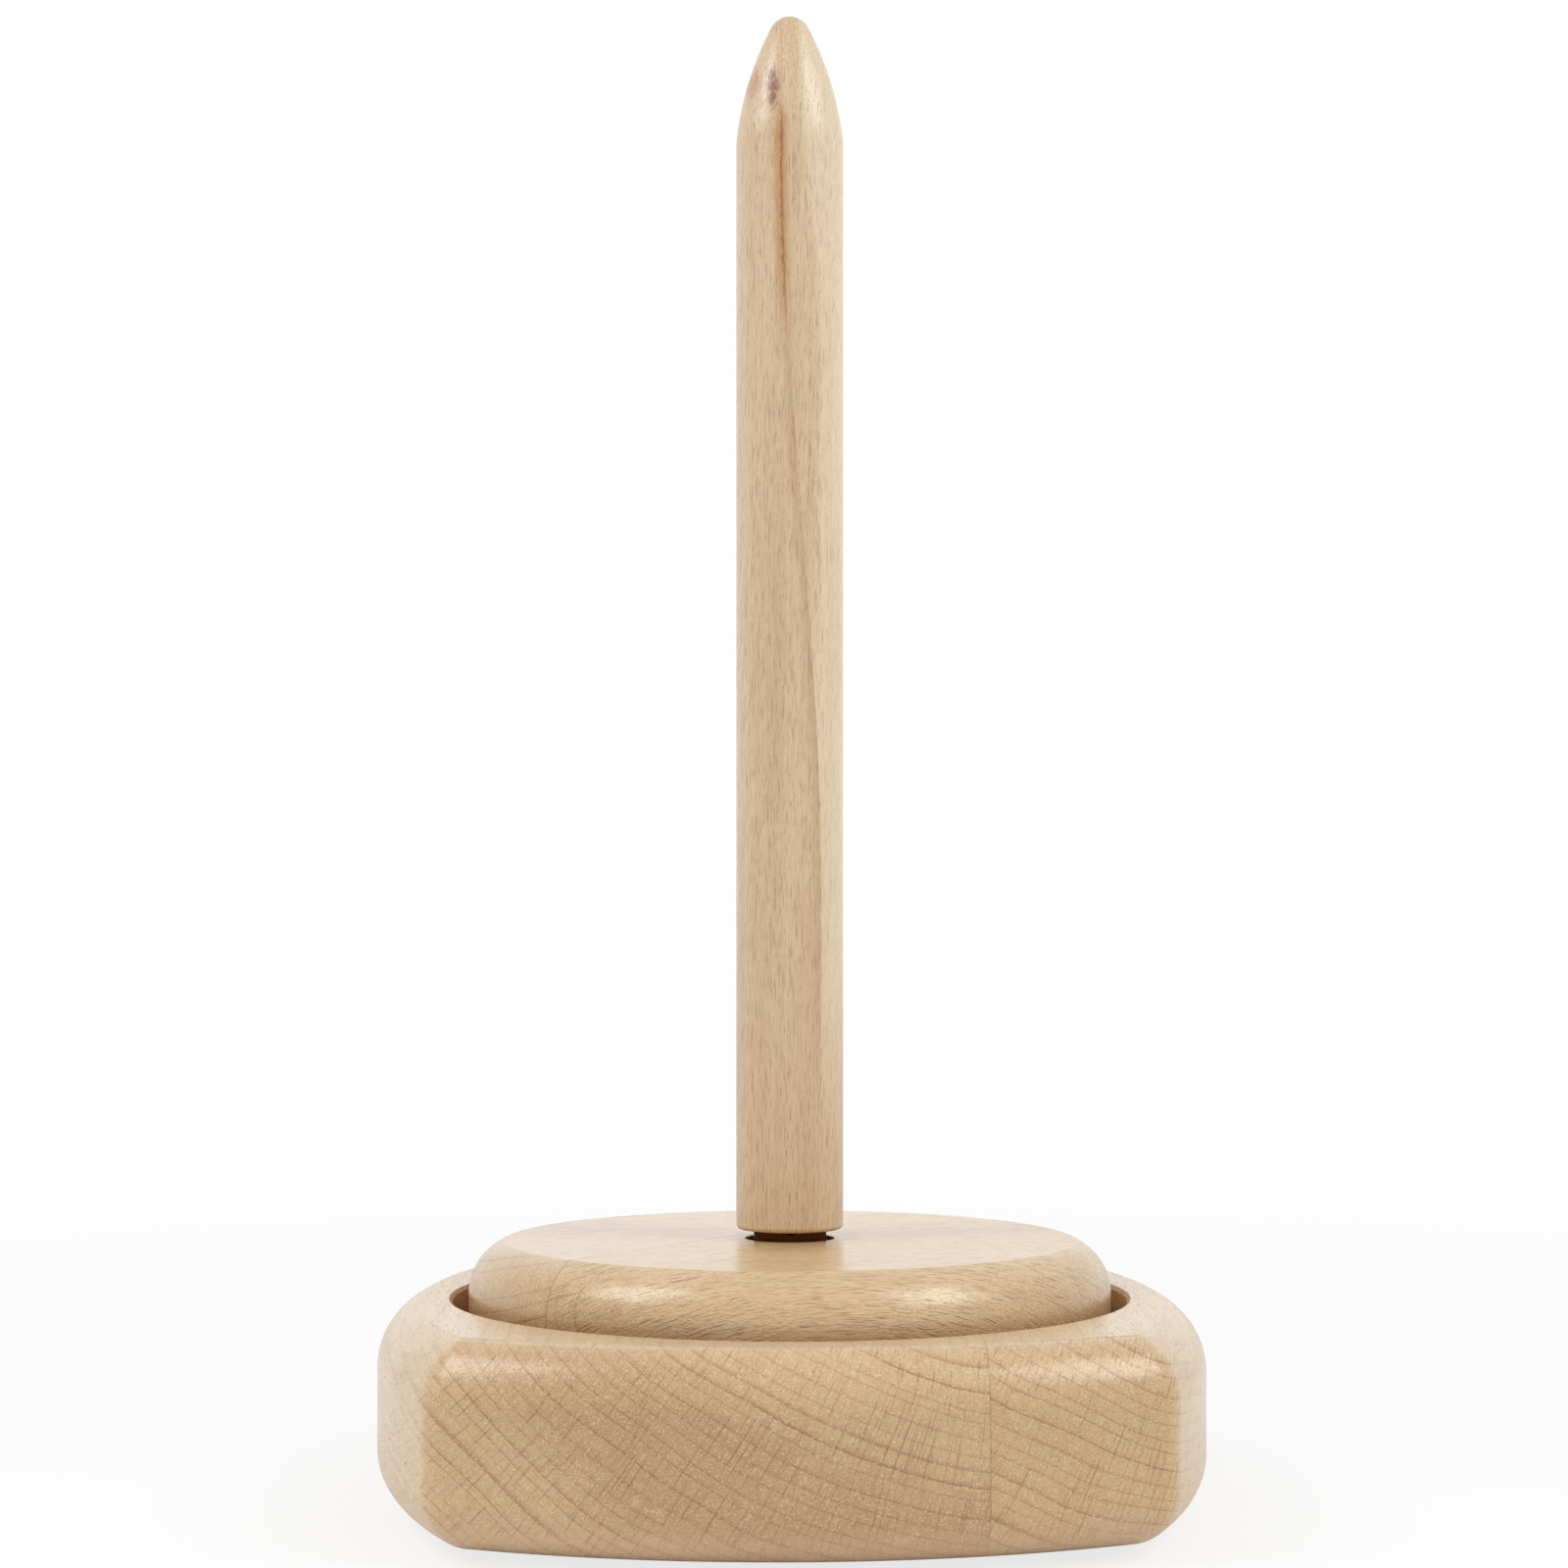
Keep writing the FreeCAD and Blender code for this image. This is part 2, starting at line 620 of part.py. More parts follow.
def spring_washer():
    body = ring(
        "spring_washer",
        washer_hole,
        clamp_washer_radius,
        dim.spring_washer_thickness,
        spring_washer_bottom,
    )
    split = new_sketch(body, "spring_washer_split", "XY_Plane")
    half = dim.spring_washer_split / 2
    reach = clamp_washer_radius * 2
    add_polygon(split, [(-half, 0), (half, 0), (half, reach), (-half, reach)])
    cut_through(body, split)


def bearing_race(name, inner, outer):
    # A race with a round track for the balls.
    body = ring(name, inner, outer, dim.bearing_height, bearing_bottom)
    track = new_sketch(body, name + "_track", "XZ_Plane")
    add_circle(track, track_radius, ball_circle_radius, ball_middle)
    groove(body, track)


def bearing_balls():
    body = new_body("bearing_balls")
    section = new_sketch(body, "ball_section", "XZ_Plane", shift=ball_circle_radius)
    radius = dim.ball_width / 2
    bottom, top = Vector(0, -radius.value, 0), Vector(0, radius.value, 0)
    side = Vector(radius.value, 0, 0)
    chord = section.addGeometry(Part.LineSegment(top, bottom), False)
    bulge = section.addGeometry(Part.Arc(bottom, side, top), False)
    section.addConstraint(Sketcher.Constraint("Coincident", chord, 2, bulge, 1))
    section.addConstraint(Sketcher.Constraint("Coincident", chord, 1, bulge, 2))
    section.addConstraint(Sketcher.Constraint("Coincident", bulge, 3, -1, 1))
    section.addConstraint(Sketcher.Constraint("PointOnObject", chord, 1, -2))
    bound_constraint(section, "Radius", bulge, size=radius)
    first_ball = revolve(body, section)
    repeat_around(body, [first_ball], dim.ball_count)
    stand_at(body, bearing_bottom + ball_middle)


def bearing_cage():
    # A crown: a low ring with an open round pocket for each ball.
    body = new_body("bearing_cage")
    section = new_sketch(body, "cage_section", "XZ_Plane")
    inner = ball_circle_radius - dim.cage_wall / 2
    outer = ball_circle_radius + dim.cage_wall / 2
    shield_top = dim.shield_inset + dim.shield_thickness
    low = shield_top + dim.cage_shield_gap - ball_middle
    high = dim.cage_rise
    add_polygon(section, [(inner, low), (outer, low), (outer, high), (inner, high)])
    revolve(body, section)
    pocket = new_sketch(body, "cage_pocket", "YZ_Plane")
    add_circle(pocket, dim.ball_width / 2 + dim.cage_pocket_clearance)
    first_pocket = cut_down(body, pocket, outer, upward=True)
    repeat_around(body, [first_pocket], dim.ball_count)
    stand_at(body, bearing_bottom + ball_middle)


def keeper_plate():
    # A flat steel ring with countersunk holes.
    body = ring(
        "keeper_plate",
        outer_land,
        keeper_screw_radius + dim.keeper_margin,
        dim.keeper_thickness,
        recess_floor,
    )
    hole = new_sketch(body, "keeper_hole_section", "XZ_Plane", shift=keeper_screw_radius)
    shank = dim.screw_width / 2 + dim.seat_fit
    rim = shank + dim.keeper_thickness
    add_polygon(hole, [(0, 0), (shank, 0), (rim, dim.keeper_thickness), (0, dim.keeper_thickness)])
    first_hole = groove(body, hole)
    repeat_around(body, [first_hole], dim.keeper_screw_count)


def keeper_screws():
    # Countersunk slotted screws; the heads end flush with the plate.
    body = new_body("keeper_screws")
    section = new_sketch(body, "screw_section", "XZ_Plane", shift=keeper_screw_radius)
    shank = dim.screw_width / 2
    rim = shank + dim.keeper_thickness
    add_polygon(
        section,
        [
            (0, -dim.screw_length),
            (shank, dim.screw_point - dim.screw_length),
            (shank, 0),
            (rim, dim.keeper_thickness),
            (0, dim.keeper_thickness),
        ],
    )
    screw = revolve(body, section)
    slot = new_sketch(
        body,
        "screw_slot",
        "XY_Plane",
        lift=dim.keeper_thickness,
        shift=keeper_screw_radius,
    )
    half = dim.screw_slot_width / 2
    reach = rim * 2
    add_polygon(slot, [(-half, -reach), (half, -reach), (half, reach), (-half, reach)])
    slot_cut = cut_down(body, slot, dim.screw_slot_depth)
    repeat_around(body, [screw, slot_cut], dim.keeper_screw_count)
    stand_at(body, recess_floor)


def bore_plug():
    # A push-in cap: a thin flange under the block and a stem in the bore.
    body = new_body("bore_plug")
    section = new_sketch(body, "plug_section", "XZ_Plane")
    stem = head_bore_radius - dim.seat_fit
    flange = head_bore_radius + dim.plug_flange_reach
    add_polygon(
        section,
        [
            (0, -dim.plug_flange_thickness),
            (flange, -dim.plug_flange_thickness),
            (flange, 0),
            (stem, 0),
            (stem, dim.plug_stem_length - dim.plug_stem_chamfer),
            (stem - dim.plug_stem_chamfer, dim.plug_stem_length),
            (0, dim.plug_stem_length),
        ],
    )
    revolve(body, section)
    stand_at(body, block_bottom)


def foot_pads():
    body = new_body("foot_pads")
    outline = new_sketch(body, "pad_outline", "XY_Plane")
    spread = corner_span / 2 - dim.pad_inset
    for x in (-spread, spread):
        for y in (-spread, spread):
            add_circle(outline, dim.pad_width / 2, x, y)
    pad(body, outline, dim.pad_thickness)
    chamfer(body, "pad_edges", dim.pad_chamfer, at_level(0))


base_stave("base_wide_stave", cut_side=1)
base_stave("base_narrow_stave", cut_side=-1)
foot_pads()
bore_plug()
bearing_race("bearing_outer_ring", outer_land, bearing_radius)
shield_inner = inner_land + dim.shield_gap
ring(
    "bearing_lower_shield",
    shield_inner,
    outer_land,
    dim.shield_thickness,
    bearing_bottom + dim.shield_inset,
)
ring(
    "bearing_upper_shield",
    shield_inner,
    outer_land,
    dim.shield_thickness,
    recess_floor - dim.shield_inset - dim.shield_thickness,
)
keeper_plate()
keeper_screws()
bearing_balls()
bearing_cage()
bearing_race("bearing_inner_ring", thread_hole, inner_land)
axle_bolt()
ring(
    "head_washer",
    washer_hole,
    dim.spacer_width / 2,
    dim.head_washer_thickness,
    head_washer_bottom,
)
ring("spacer_ring", washer_hole, dim.spacer_width / 2, spacer_height, recess_floor)
ring(
    "support_washer",
    washer_hole,
    dim.support_washer_width / 2,
    dim.support_washer_thickness,
    support_washer_bottom,
)
disc_stave("disc_main_stave", cut_side=-1)
disc_stave("disc_side_stave", cut_side=1)
ring(
    "clamp_washer",
    washer_hole,
    clamp_washer_radius,
    dim.clamp_washer_thickness,
    clamp_washer_bottom,
)
spring_washer()
clamp_nut()
spindle()
spindle_insert()

doc.recompute()
for item in doc.Objects:
    if "Invalid" in item.State or "Error" in item.State:
        raise RuntimeError(f"{item.Label} failed: {item.State}")
for piece in pieces:
    if piece.Shape.isNull() or not piece.Shape.isValid():
        raise RuntimeError(f"{piece.Label} has no sound shape")

os.makedirs("parts", exist_ok=True)
for piece in pieces:
    piece.Shape.exportStep(f"parts/{piece.Label}.step")
    box = piece.Shape.BoundBox
    count = len(piece.Shape.Solids)
    print(f"{piece.Label}: {count} solid(s), z {box.ZMin:.2f} to {box.ZMax:.2f}")
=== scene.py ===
import json
import math

import bmesh
import bpy
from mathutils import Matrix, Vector


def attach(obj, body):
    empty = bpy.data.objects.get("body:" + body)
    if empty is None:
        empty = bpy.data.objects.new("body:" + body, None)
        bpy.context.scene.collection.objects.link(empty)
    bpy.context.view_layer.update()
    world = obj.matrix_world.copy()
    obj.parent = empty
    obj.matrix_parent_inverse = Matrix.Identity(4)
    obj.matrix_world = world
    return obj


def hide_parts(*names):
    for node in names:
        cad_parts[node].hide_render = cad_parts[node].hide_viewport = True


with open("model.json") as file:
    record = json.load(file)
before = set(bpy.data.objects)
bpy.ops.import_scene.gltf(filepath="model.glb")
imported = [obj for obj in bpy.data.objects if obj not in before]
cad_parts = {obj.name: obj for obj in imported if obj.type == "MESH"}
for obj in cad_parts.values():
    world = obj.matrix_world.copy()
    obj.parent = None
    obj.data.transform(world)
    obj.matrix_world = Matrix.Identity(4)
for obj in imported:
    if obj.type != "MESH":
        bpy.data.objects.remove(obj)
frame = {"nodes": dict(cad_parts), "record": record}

bpy.context.view_layer.update()
nodes = frame["nodes"]
mm = 0.001
print("frame loaded:", len(nodes), "nodes")


def shade(red, green, blue):
    # a colour read off a screen, as the shader wants it
    linear = [c / 255 / 12.92 if c <= 10 else ((c / 255 + 0.055) / 1.055) ** 2.4
              for c in (red, green, blue)]
    return (*linear, 1.0)


class Wire:
    # what comes out of a node; sums on wires add the Math nodes
    def __init__(self, board, socket):
        self.board, self.socket = board, socket

    def also(self, output):
        return Wire(self.board, self.socket.node.outputs[output])

    def maths(self, operation, *others):
        return self.board.node("Math", {"operation": operation},
                               dict(enumerate((self, *others))))

    def __add__(self, other):
        return self.maths("ADD", other)

    __radd__ = __add__

    def __mul__(self, other):
        return self.maths("MULTIPLY", other)

    def __sub__(self, other):
        return self.maths("SUBTRACT", other)

    def __rsub__(self, other):
        return self.board.node("Math", {"operation": "SUBTRACT"}, {0: other, 1: self})

    def __truediv__(self, other):
        return self.maths("DIVIDE", other)

    def size(self):
        return self.maths("ABSOLUTE")

    def rise(self, low, high, top=1.0, bottom=0.0):
        # bottom below low, top above high, soft between
        return self.board.node(
            "MapRange", {"interpolation_type": "SMOOTHSTEP"},
            {"Value": self, "From Min": low, "From Max": high,
             "To Min": bottom, "To Max": top})

    def fall(self, low, high, top=1.0):
        return self.rise(low, high, 0.0, top)

    def between(self, low, lowFull, highFull, high):
        return self.rise(low, lowFull) * self.fall(highFull, high)


class Board:
    # a node tree, and the one way to add a node to it
    def __init__(self, tree):
        self.tree = tree

    def node(self, kind, settings, values, output=0):
        added = self.tree.nodes.new("ShaderNode" + kind)
        for name, value in settings.items():
            setattr(added, name, value)
        for name, value in values.items():
            self.feed(added.inputs[name], value)
        return Wire(self, added.outputs[output])

    def feed(self, socket, value):
        if isinstance(value, Wire):
            self.tree.links.new(value.socket, socket)
        else:
            socket.default_value = value


class Finish(Board):
    # one material
    def __init__(self, name, **settings):
        self.material = bpy.data.materials.new(name)
        self.material.use_nodes = True
        super().__init__(self.material.node_tree)
        self.shader = self.tree.nodes["Principled BSDF"]
        self.set(**settings)

    def set(self, **values):
        for name, value in values.items():
            self.feed(self.shader.inputs[name.replace("_", " ")], value)

    def point(self):
        # place on the object, in millimetres
        spot = self.node("TexCoord", {}, {}, "Object")
        return self.node("VectorMath", {"operation": "SCALE"}, {0: spot, "Scale": 1 / mm})

    def facing(self):
        return self.node("TexCoord", {}, {}, "Normal")

    def vector(self, operation, *values, output="Vector"):
        return self.node("VectorMath", {"operation": operation},
                         dict(enumerate(values)), output)

    def along(self, vector, direction):
        return self.vector("DOT_PRODUCT", vector, direction, output="Value")

    def length(self, vector):
        return self.vector("LENGTH", vector, output="Value")

    def reach(self, vector):
        # how far out from the third axis
        return self.length(self.vector("MULTIPLY", vector, (1, 1, 0)))

    def join(self, x, y, z):
        return self.node("CombineXYZ", {}, {0: x, 1: y, 2: z})

    def noise(self, vector, sizes=None, detail=2.0, roughness=0.5, output="Fac"):
        # sizes: so many millimetres to one unit of noise, each way
        if sizes:
            vector = self.vector("DIVIDE", vector, sizes)
        return self.node("TexNoise", {}, {"Vector": vector, "Scale": 1.0, "Detail": detail,
                                          "Roughness": roughness}, output)

    def mix(self, factor, first, second):
        return self.node("Mix", {"data_type": "RGBA"}, {0: factor, 6: first, 7: second}, 2)

    def layers(self, colour, *coats):
        # lays tones over a colour, each as strong as its wire says
        for strength, tone in coats:
            colour = self.mix(strength, colour, tone)
        return colour

    def bump(self, height, strength, distance, normal=None):
        values = {"Height": height, "Strength": strength, "Distance": distance}
        if normal:
            values["Normal"] = normal
        return self.node("Bump", {}, values)

    def giveTo(self, piece):
        piece.data.materials.clear()
        piece.data.materials.append(self.material)


def boardGrain(degrees):
    # a board lying flat, its fibres turned clockwise from the depth axis
    angle = math.radians(degrees)
    return {"across": (math.cos(angle), -math.sin(angle), 0), "up": (0, 0, 1),
            "fibre": (math.sin(angle), math.cos(angle), 0)}


# a glue line: the way its plane faces, and how far it lies from the turning axis in mm
blockSeam = {"facing": (1, 0, 0), "at": 22.4}
discSeam = {"facing": boardGrain(36)["across"], "at": -8.3}

# tones laid over the wood
beechTone = {
    "line": shade(154, 99, 42),
    "thread": shade(150, 92, 40),
    "pore": shade(142, 90, 42),
    # pale specks, partly the wood's own and partly painted glints of the lacquer
    "grain": shade(248, 228, 184),
    "glue": shade(128, 84, 44),
    "bore": shade(186, 122, 88),
    # painted bounce light, warm from the wood below
    "paintedBounce": shade(178, 108, 66),
    # a painted reflection of the white floor on the block's low rounding
    "paintedFloorReflection": shade(224, 188, 160),
}

# how strongly each layer shows; a pair is for end grain and for the sides
beechShow = {
    "lateWood": (1.0, 0.25), "lateWoodYear": (0.22, 0.05),
    "ringOnSide": 0.08, "ringYear": 0.42, "ringCloud": 0.2, "ringLeast": 0.06,
    "streaks": 0.13, "cloud": 0.08, "fibres": 0.09, "lights": (0.42, 0.08),
    "threads": (1.0, 0.15), "pores": 0.26, "paintedBounce": 0.15, "paintedFloorReflection": 0.36, "boreCloud": 0.3,
}

# noise in the wood: mm across, up and along; detail, roughness; where it starts and is full
grainNoise = {
    "pores": ((0.2, 0.2, 2.0), 1.0, 0.5, 0.55, 0.72),
    "fibres": ((0.24, 0.24, 5.0), 2.0, 0.6, 0.35, 0.7),
    "lights": ((0.29, 0.29, 1.6), 2.0, 0.6, 0.5, 0.68),
    "streaks": ((1.3, 1.3, 45.0), 2.0, 0.5, 0.3, 0.7),
    "cloud": ((9, 9, 60), 2.0, 0.5, 0.25, 0.75),
}

# rings and rays: widths and places in a year as shares of it, sizes in mm
beechForm = {
    "endGrain": (0.2, 0.8), "wanderSize": (24, 24, 80),
    "unevenYears": 2.3, "unevenBy": 1.5,
    "lateWood": (0.5, 0.97, 0.97, 1.0), "ringLine": (0.79, 0.95, 0.96, 1.0),
    "sheet": (0.62, 0.14, 0.46), "sheetEdge": (0.45, 1.0), "sheetFaintest": 0.35,
    "broadside": (0.9, 0.98), "edgeOn": 0.3,
    "threadPitch": 1.05, "threadSway": 0.9, "threadEdge": (0.03, 0.12),
    "swayLong": 12, "swayWide": 3, "swayTall": 6, "threadShown": (0.36, 0.62),
    "threadLong": 3.4, "threadTall": 3, "threadApart": 7.3,
    "bandSize": (14, 14, 40), "band": (0.38, 0.6), "bandFaint": 0.3,
    "glueEdge": (0.05, 0.17), "paintedBounceDepth": 1.8, "paintedFloorReflectionBand": (3.0, 8.5),
    "boreSkin": 0.25, "boreLowEdge": 0.2, "boreHighEdge": 0.6, "backWall": (-26, -10),
}

# the lacquered face: shares of roughness, bare spots and dips; depths and sizes in mm
beechFilm = {
    "rough": 0.4, "poreRough": 0.2, "rayRough": 0.1, "boreRough": 0.3,
    "poreBare": 0.4, "rayBare": 0.2, "poreDip": 0.5, "rayDip": 0.7, "lineDip": 0.4,
    "dipShow": 0.8, "dipDepth": 0.1, "peelSize": (0.5, 0.5, 0.5), "peelShow": 0.5,
    "peelDepth": 0.18,
}

# pith: the tree's middle, across and up, in mm; rayPith: where the rays run out from;
# brown: the distances from the pith between which the end grain is brown, and how much;
# bore: radius, low and high of the bare wall
plainBoard = {
    "side": shade(229, 201, 160), "end": shade(213, 179, 127), "ray": shade(150, 92, 40),
    "ringsFrom": (0, 1), "ringsUntil": (98, 99), "brown": (0, 1, 2, 3, 0),
    "threadShow": 0.2, "fibreShow": 1.0, "boreTint": 0.65, "paintedBounceBelow": 0,
}
blockWide = {
    **plainBoard, **boardGrain(0), "pith": (33, 93), "rayPith": (33, 93),
    "ringWidth": 1.9, "wander": 2.0, "ringShow": 1.0,
    "raySize": (9.0, 1.4, 2.4), "rayShow": (0.4, 0.26), "threadShow": 0.42,
    "end": shade(217, 184, 134), "brown": (76, 88, 96, 107, 0.32),
    "seam": blockSeam, "glueShow": 0.34, "bore": (47.6, 17.2, 30.0),
    "gloss": 0.85, "haze": 0.25,
}
blockNarrow = {
    **blockWide, "pith": (70, 99), "rayPith": (70, 99), "ringWidth": 1.8,
    "end": plainBoard["end"], "brown": plainBoard["brown"], "boreTint": 0.15,
}
discMain = {
    **plainBoard, **boardGrain(84), "pith": (83.6, 40), "rayPith": (69.6, 58),
    "ringWidth": 2.8, "wander": 1.6, "ringShow": 0.8,
    "ringsFrom": (46, 55), "ringsUntil": (0, 25),
    "raySize": (7.0, 0.78, 3.1), "rayShow": (0.95, 1.0),
    "side": shade(226, 195, 147), "ray": shade(126, 72, 26), "paintedBounceBelow": 30.2,
    "seam": discSeam, "glueShow": 0.55, "bore": (6.5, 20.0, 35.8),
    "gloss": 0.95, "haze": 0.24,
}
discSide = {
    **discMain, **boardGrain(78), "pith": (-16, 173), "rayPith": (20, 120),
    "ringWidth": 2.4, "wander": 1.0, "ringShow": 0.9,
    "ringsFrom": plainBoard["ringsFrom"], "ringsUntil": plainBoard["ringsUntil"],
    "ray": plainBoard["ray"], "rayShow": (0.3, 0.25), "side": shade(229, 200, 163),
}
dowel = {
    **plainBoard, "across": (1, 0, -0.018), "up": (0, 1, 0), "fibre": (0.018, 0, 1),
    "pith": (-41, -12), "rayPith": (-8, -60),
    "ringWidth": 3.3, "wander": 1.2, "ringShow": 0.35, "ringsUntil": (298, 299),
    "raySize": (4.0, 0.7, 4.0), "rayShow": (0.18, 0.35), "fibreShow": 1.6,
    "side": shade(226, 200, 163),
    "seam": {"facing": (1, 0, 0), "at": 100}, "glueShow": 0.0, "bore": (4.6, 37.0, 53.0),
    "gloss": 0.7, "haze": 0.32,
}


def raySheets(wood, outward, sideways, fibre):
    # flat ellipsoids scattered one to a cell, some darker than others
    form = beechForm
    place = wood.join(outward, sideways, fibre)
    middle = wood.node("TexVoronoi", {}, {"Vector": place, "Scale": 1.0, "Randomness": 1.0},
                       "Position")
    off = wood.vector("SUBTRACT", place, middle)
    away = wood.length(wood.vector("DIVIDE", off, form["sheet"]))
    tone = wood.node("SeparateColor", {}, {0: middle.also("Color")})
    return away.fall(*form["sheetEdge"]) * tone.rise(0.0, 1.0, 1.0, form["sheetFaintest"])


def rayThreads(wood, outward, sideways, fibre):
    # fine lines side by side, a little uneven, that come and go along their way
    form = beechForm
    place = wood.join(outward / form["swayLong"], sideways / form["swayWide"],
                      fibre / form["swayTall"])
    sway = wood.noise(place, None, 1.0)
    tick = sideways / form["threadPitch"] + sway * form["threadSway"]
    line = (tick.maths("FRACT") - 0.5).size().fall(*form["threadEdge"])
    ownPlace = wood.join(outward / form["threadLong"],
                         tick.maths("FLOOR") * form["threadApart"], fibre / form["threadTall"])
    return line * wood.noise(ownPlace, None, 1.0).rise(*form["threadShown"])


def beechFinish(name, look, marks=None):
    form, show, tone = beechForm, beechShow, beechTone
    wood = Finish(name, IOR=1.5, Coat_Roughness=look["haze"])
    point = wood.point()
    across, up, fibre = [wood.along(point, look[way]) for way in ("across", "up", "fibre")]
    grain = wood.join(across, up, fibre)
    normal = wood.facing()
    endGrain = wood.along(normal, look["fibre"]).size().rise(*form["endGrain"])

    def byFace(onEnd, onSide):
        return endGrain * (onEnd - onSide) + onSide

    # the rings wander a little along the tree
    wander = wood.noise(grain, form["wanderSize"], 1.5, output="Color")
    wander = wood.vector("SUBTRACT", wander, (0.5, 0.5, 0.5))
    wander = wood.vector("MULTIPLY", wander, (look["wander"] * 2,) * 3)
    swayed = wood.vector("ADD", grain, wander)
    radius = wood.reach(wood.vector("SUBTRACT", swayed, (*look["pith"], 0)))
    uneven = wood.node("TexNoise", {"noise_dimensions": "1D"},
                       {"W": radius / (look["ringWidth"] * form["unevenYears"]),
                        "Scale": 1.0, "Detail": 1.0})
    rings = radius / look["ringWidth"] + uneven * form["unevenBy"]
    within = rings.maths("FRACT")
    year = wood.node("TexWhiteNoise", {"noise_dimensions": "1D"}, {"W": rings.maths("FLOOR")})
    lateWood = within.between(*form["lateWood"])
    ringLine = within.between(*form["ringLine"])
    ringsHere = radius.rise(*look["ringsFrom"]) * fibre.fall(*look["ringsUntil"],
                                                             look["ringShow"])

    # rays: thin upright sheets that run out from the pith, seen best from their broad side
    long, thin, tall = look["raySize"]
    fromPith = wood.vector("SUBTRACT", swayed, (*look["rayPith"], 0))
    rayRadius = wood.reach(fromPith)
    turn = wood.along(fromPith, (0, 1, 0)).maths("ARCTAN2", wood.along(fromPith, (1, 0, 0)))
    arm = math.hypot(*look["rayPith"])
    alongRays = wood.join(wood.along(normal, look["up"]),
                          wood.along(normal, look["across"]) * -1, 0)
    towards = (wood.along(fromPith, alongRays) / rayRadius).size()
    broadside = towards.rise(*form["broadside"], form["edgeOn"], 1.0)
    rays = raySheets(wood, rayRadius / long, turn * (arm / thin), fibre / tall) * broadside
    threads = rayThreads(wood, rayRadius, turn * arm, fibre)
    bands = wood.noise(grain, form["bandSize"], 1.0).rise(*form["band"], 1.0,
                                                          form["bandFaint"])

    pores, fibres, lights, streaks, cloud = [
        wood.noise(grain, sizes, detail, roughness).rise(low, high)
        for sizes, detail, roughness, low, high in grainNoise.values()]

    yearSpread, yearLeast = show["lateWoodYear"]
    lateStrength = lateWood * (year * yearSpread + yearLeast) * byFace(*show["lateWood"])
    ringOnEnd = year * show["ringYear"] + cloud * show["ringCloud"] + show["ringLeast"]
    ringStrength = endGrain * ringOnEnd + show["ringOnSide"]
    *brownPlace, brown = look["brown"]
    offGlue = (wood.along(point, look["seam"]["facing"]) - look["seam"]["at"]).size()
    colour = wood.layers(
        wood.mix(endGrain, look["side"], look["end"]),
        (radius.between(*brownPlace) * endGrain * brown, tone["line"]),
        (lateStrength * ringsHere, tone["line"]),
        (ringLine * ringStrength * ringsHere, tone["line"]),
        (streaks * show["streaks"], tone["line"]),
        (cloud * show["cloud"], tone["line"]),
        (fibres * (show["fibres"] * look["fibreShow"]), tone["line"]),
        # pale specks: partly the wood's own, partly painted glints of the lacquer
        (lights * byFace(*show["lights"]), tone["grain"]),
        (threads * bands * byFace(*show["threads"]) * look["threadShow"], tone["thread"]),
        (rays * byFace(*look["rayShow"]), look["ray"]),
        (pores * show["pores"], tone["pore"]),
        (offGlue.fall(*form["glueEdge"], look["glueShow"]), tone["glue"]))
    if marks:
        colour = marks(wood, point, colour)

    # painted bounce light low on the disc's rim, a painted reflection of the floor low on the
    # block, and bored walls that are bare, with a redder, darker tint towards the back
    boreRadius, low, high = look["bore"]
    fromAxis = wood.reach(point)
    level = wood.along(point, (0, 0, 1))
    inBore = (fromAxis.fall(boreRadius - form["boreSkin"], boreRadius)
              * level.rise(low, low + form["boreLowEdge"])
              * level.fall(high - form["boreHighEdge"], high))
    backWall = inBore * wood.along(point, (0, 1, 0)).rise(*form["backWall"])
    boreTint = cloud * show["boreCloud"] + look["boreTint"] - show["boreCloud"] / 2
    colour = wood.layers(
        colour,
        # painted bounce light, warm, low on the disc's rim
        (level.fall(look["paintedBounceBelow"] - form["paintedBounceDepth"], look["paintedBounceBelow"], show["paintedBounce"]),
         tone["paintedBounce"]),
        # painted reflection of the floor on the block's low rounding
        (level.fall(*form["paintedFloorReflectionBand"], show["paintedFloorReflection"]), tone["paintedFloorReflection"]),
        (backWall * boreTint, tone["bore"]))

    # lacquer, thinner over pores and rays, on wood that isn't quite flat
    film = beechFilm
    wood.set(Base_Color=colour)
    wood.set(Roughness=pores * film["poreRough"] + film["rough"] + rays * film["rayRough"]
             + inBore * film["boreRough"])
    covered = 1 - pores * film["poreBare"] - rays * film["rayBare"]
    wood.set(Coat_Weight=covered * (1 - inBore) * look["gloss"])
    peel = wood.noise(point, film["peelSize"], roughness=0.6)
    dips = (pores * film["poreDip"] + rays * film["rayDip"] + threads * film["lineDip"]
            + ringLine * film["lineDip"] + fibres * film["lineDip"])
    fine = wood.bump(dips, film["dipShow"], -film["dipDepth"] * mm)
    wood.set(Normal=wood.bump(peel, film["peelShow"], film["peelDepth"] * mm, fine))
    return wood


